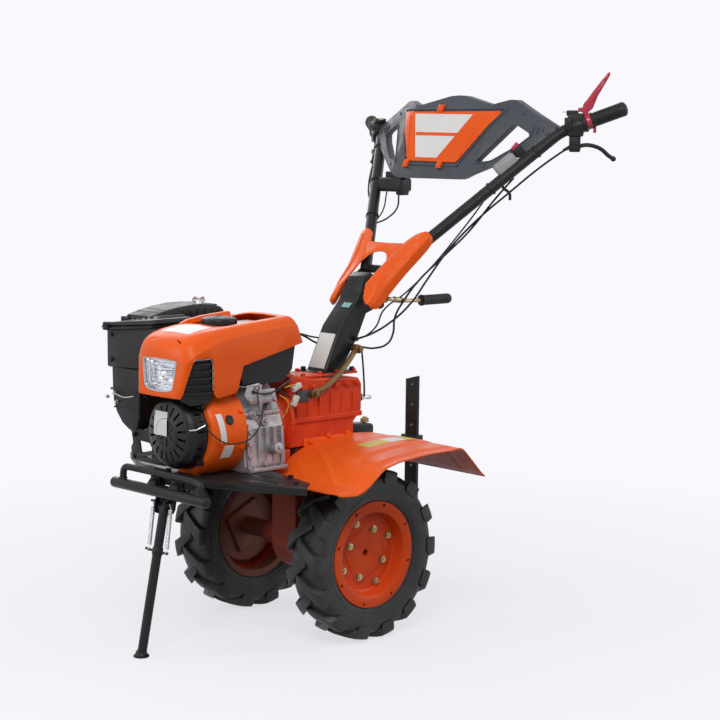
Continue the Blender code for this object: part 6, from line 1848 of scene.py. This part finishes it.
def build_switch():
    """The pale switch case on the near bar, the red switch, a small lever, the under-dash box."""
    turn = aimed((-0.535, 0.246, 1.262), (FORK_BEND[1] - FORK_LOW).normalized(), "X", "Z")
    case = joined("switch_case", [
        soft_block("case", (-0.033, -0.023, -0.013), (0.033, 0.023, 0.015), 0.004, 3),
        soft_block("lid", (-0.03, -0.02, 0.014), (0.03, 0.02, 0.019), 0.002, 3)])
    settle(moved(case, turn), "grey", "switch_box", body="handlebar")
    base = joined("switch_base", [
        soft_block("base", (0.037, -0.014, -0.008), (0.064, 0.014, 0.02), 0.003, 3),
        ring("strap", (0.05, 0, -0.013), "X", 0.018, 0.003, 32, 8),
        wire("lever", [(-0.03, 0.006, -0.026), (-0.044, 0.012, -0.046), (-0.04, 0.018, -0.072),
        (-0.05, 0.022, -0.088)], 0.0042), ring("clip", (-0.018, 0, -0.013), "X", 0.018, 0.0035, 32,
        8)])
    settle(moved(base, turn), "plastic", body="handlebar", smooth=40)
    rocker = block("rocker", (0.0385, -0.0125, 0.019), (0.0625, 0.0125, 0.027))
    pick(rocker, lambda vertex: vertex.co.z > 0.022 and vertex.co.x > 0.05, "VERT")
    bpy.ops.transform.translate(value=(0, 0, 0.005))
    close()
    settle(moved(eased(rocker, 0.0018, 3), turn), "red", body="handlebar")
    finished("under_dash_box", [
        soft_block("box", (-0.525, -0.202, 1.176), (-0.472, -0.108, 1.218), 0.009, 4, 40.0),
        soft_block("neck", (-0.51, -0.188, 1.21), (-0.49, -0.12, 1.235), 0.003, 3),
        soft_block("foot", (-0.52, -0.14, 1.166), (-0.485, -0.115, 1.18), 0.005, 3)], "plastic",
        body="handlebar")
    plate = eased(sheet_of("throttle_plate", ((0.01, -0.012), (0.042, -0.016), (0.05, -0.042),
        (0.028, -0.056), (0.006, -0.038)), "Y", 0.023, 0.0265), 0.001)
    arm = wire("throttle_arm", [(0.028, 0.028, -0.03), (0.01, 0.033, -0.052),
        (-0.012, 0.033, -0.066)], 0.0042)
    made = joined("throttle_lever", [plate, arm])
    made.data.transform(grip_plane(-1) @ ACROSS)
    settle(outward(made), "bronze", body="handlebar", smooth=40)


CABLE_START, CABLE_END = Vector((-0.215, 0, 0.82)), Vector((-0.42, 0, 1.01))
CABLES = {
    "clutch_line": (0.003, ((-0.6555, 0.3717, 1.311), (-0.64, 0.352, 1.294), (-0.608, 0.305, 1.252),
    (-0.565, 0.235, 1.183), (-0.51, 0.165, 1.105), (-0.445, 0.115, 1.018), (-0.385, 0.095, 0.94),
    (-0.325, 0.085, 0.87), (-0.25, 0.075, 0.818), (-0.19, 0.062, 0.79), (-0.156, 0.048, 0.779))),
    "shift_line": (0.003, ((-0.56, 0.255, 1.225), (-0.54, 0.205, 1.165), (-0.49, 0.15, 1.07),
    (-0.43, 0.11, 1.0), (-0.365, 0.08, 0.935), (-0.315, 0.07, 0.88), (-0.275, 0.072, 0.83),
    (-0.268, 0.074, 0.79), (-0.25, 0.072, 0.762), (-0.21, 0.062, 0.75), (-0.16, 0.056, 0.756))),
    "throttle_line": (0.0024, ((-0.528, 0.238, 1.235), (-0.505, 0.185, 1.15), (-0.45, 0.135, 1.05),
    (-0.39, 0.095, 0.965), (-0.33, 0.062, 0.9), (-0.25, 0.05, 0.85), (-0.225, 0.05, 0.81),
    (-0.19, 0.045, 0.785), (-0.15, 0.042, 0.775))),
    "far_clutch_line": (0.0028, ((-0.63, -0.368, 1.285), (-0.625, -0.385, 1.23),
    (-0.59, -0.36, 1.175), (-0.54, -0.295, 1.13), (-0.48, -0.235, 1.09), (-0.41, -0.165, 1.03),
    (-0.33, -0.095, 0.95), (-0.25, -0.056, 0.875), (-0.19, -0.048, 0.8), (-0.12, -0.048, 0.76),
    (-0.03, -0.048, 0.79), (0.05, -0.045, 0.815), (0.115, -0.045, 0.81))),
    "far_throttle_line": (0.0024, ((-0.625, -0.356, 1.29), (-0.61, -0.365, 1.24),
    (-0.57, -0.33, 1.18), (-0.52, -0.27, 1.12), (-0.45, -0.205, 1.065), (-0.37, -0.13, 0.995),
    (-0.29, -0.07, 0.91), (-0.22, -0.05, 0.83), (-0.16, -0.046, 0.77), (-0.08, -0.044, 0.78),
    (0.02, -0.03, 0.8), (0.11, -0.02, 0.795))),
    "box_line": (0.0026, ((-0.5, -0.14, 1.165), (-0.505, -0.15, 1.13), (-0.5, -0.19, 1.095),
    (-0.47, -0.215, 1.075), (-0.42, -0.185, 1.03), (-0.35, -0.125, 0.97))),
    "second_box_line": (0.0022, ((-0.5, -0.19, 1.175), (-0.495, -0.2, 1.12), (-0.475, -0.21, 1.085),
    (-0.43, -0.18, 1.045), (-0.35, -0.115, 0.98)))}
BANDS = ((1, 0.86), (1, 0.6), (-1, 0.4), (-1, 0.66), (-1, 0.92))      # side, share of the bar


def build_cables():
    """Each held cable along its route; the box's lines go with the handlebar, and those that cross
    its pivot stay on no body.
    """
    for name, (radius, points) in CABLES.items():
        line = wire(name, points, radius, sides=2)
        if name.endswith("box_line"):
            settle(line, "black", body="handlebar", smooth=60)
        else:
            settle(line, "black", *(["clutch_cable"] if name == "clutch_line" else []), smooth=60,
                bend_to=("handlebar", CABLE_START, CABLE_END))
    bands = []
    for side, share in BANDS:
        low = Vector((FORK_LOW.x, side * FORK_LOW.y, FORK_LOW.z))
        run = FORK_BEND[side] - low
        band = spun("band", ((0.0172, -0.004), (0.019, -0.003), (0.019, 0.003), (0.0172, 0.004),
            (0.0172, -0.004)), (0, 0, 0), "Z", 32)
        bands.append(moved(band, aimed(low + run * share, run)))
    finished("cable_bands", bands, "plastic", body="handlebar")


# ---------------------------------------------------------------- all of it

def finish_nodes():
    for name, finish in NODE_FINISH.items():
        materials = frame["nodes"][name].data.materials
        materials.clear()
        materials.append(FINISHES[finish])


def main():
    build_stage()
    finish_nodes()
    for build in (build_wheels, build_hood, build_headlight, build_vents, build_cap, build_cleaner,
            build_lid, build_filter_cover, build_silencer, build_blower, build_labels,
            build_starter, build_pull, build_crankcase, build_controls, build_loom, build_strut,
            build_gear_fittings, build_fenders, build_deck, build_bumper, build_bracket,
            build_stand, build_hitch, build_column, build_shift, build_saddle, build_dash,
            build_grips, build_clutch, build_switch, build_cables):
        build()


main()
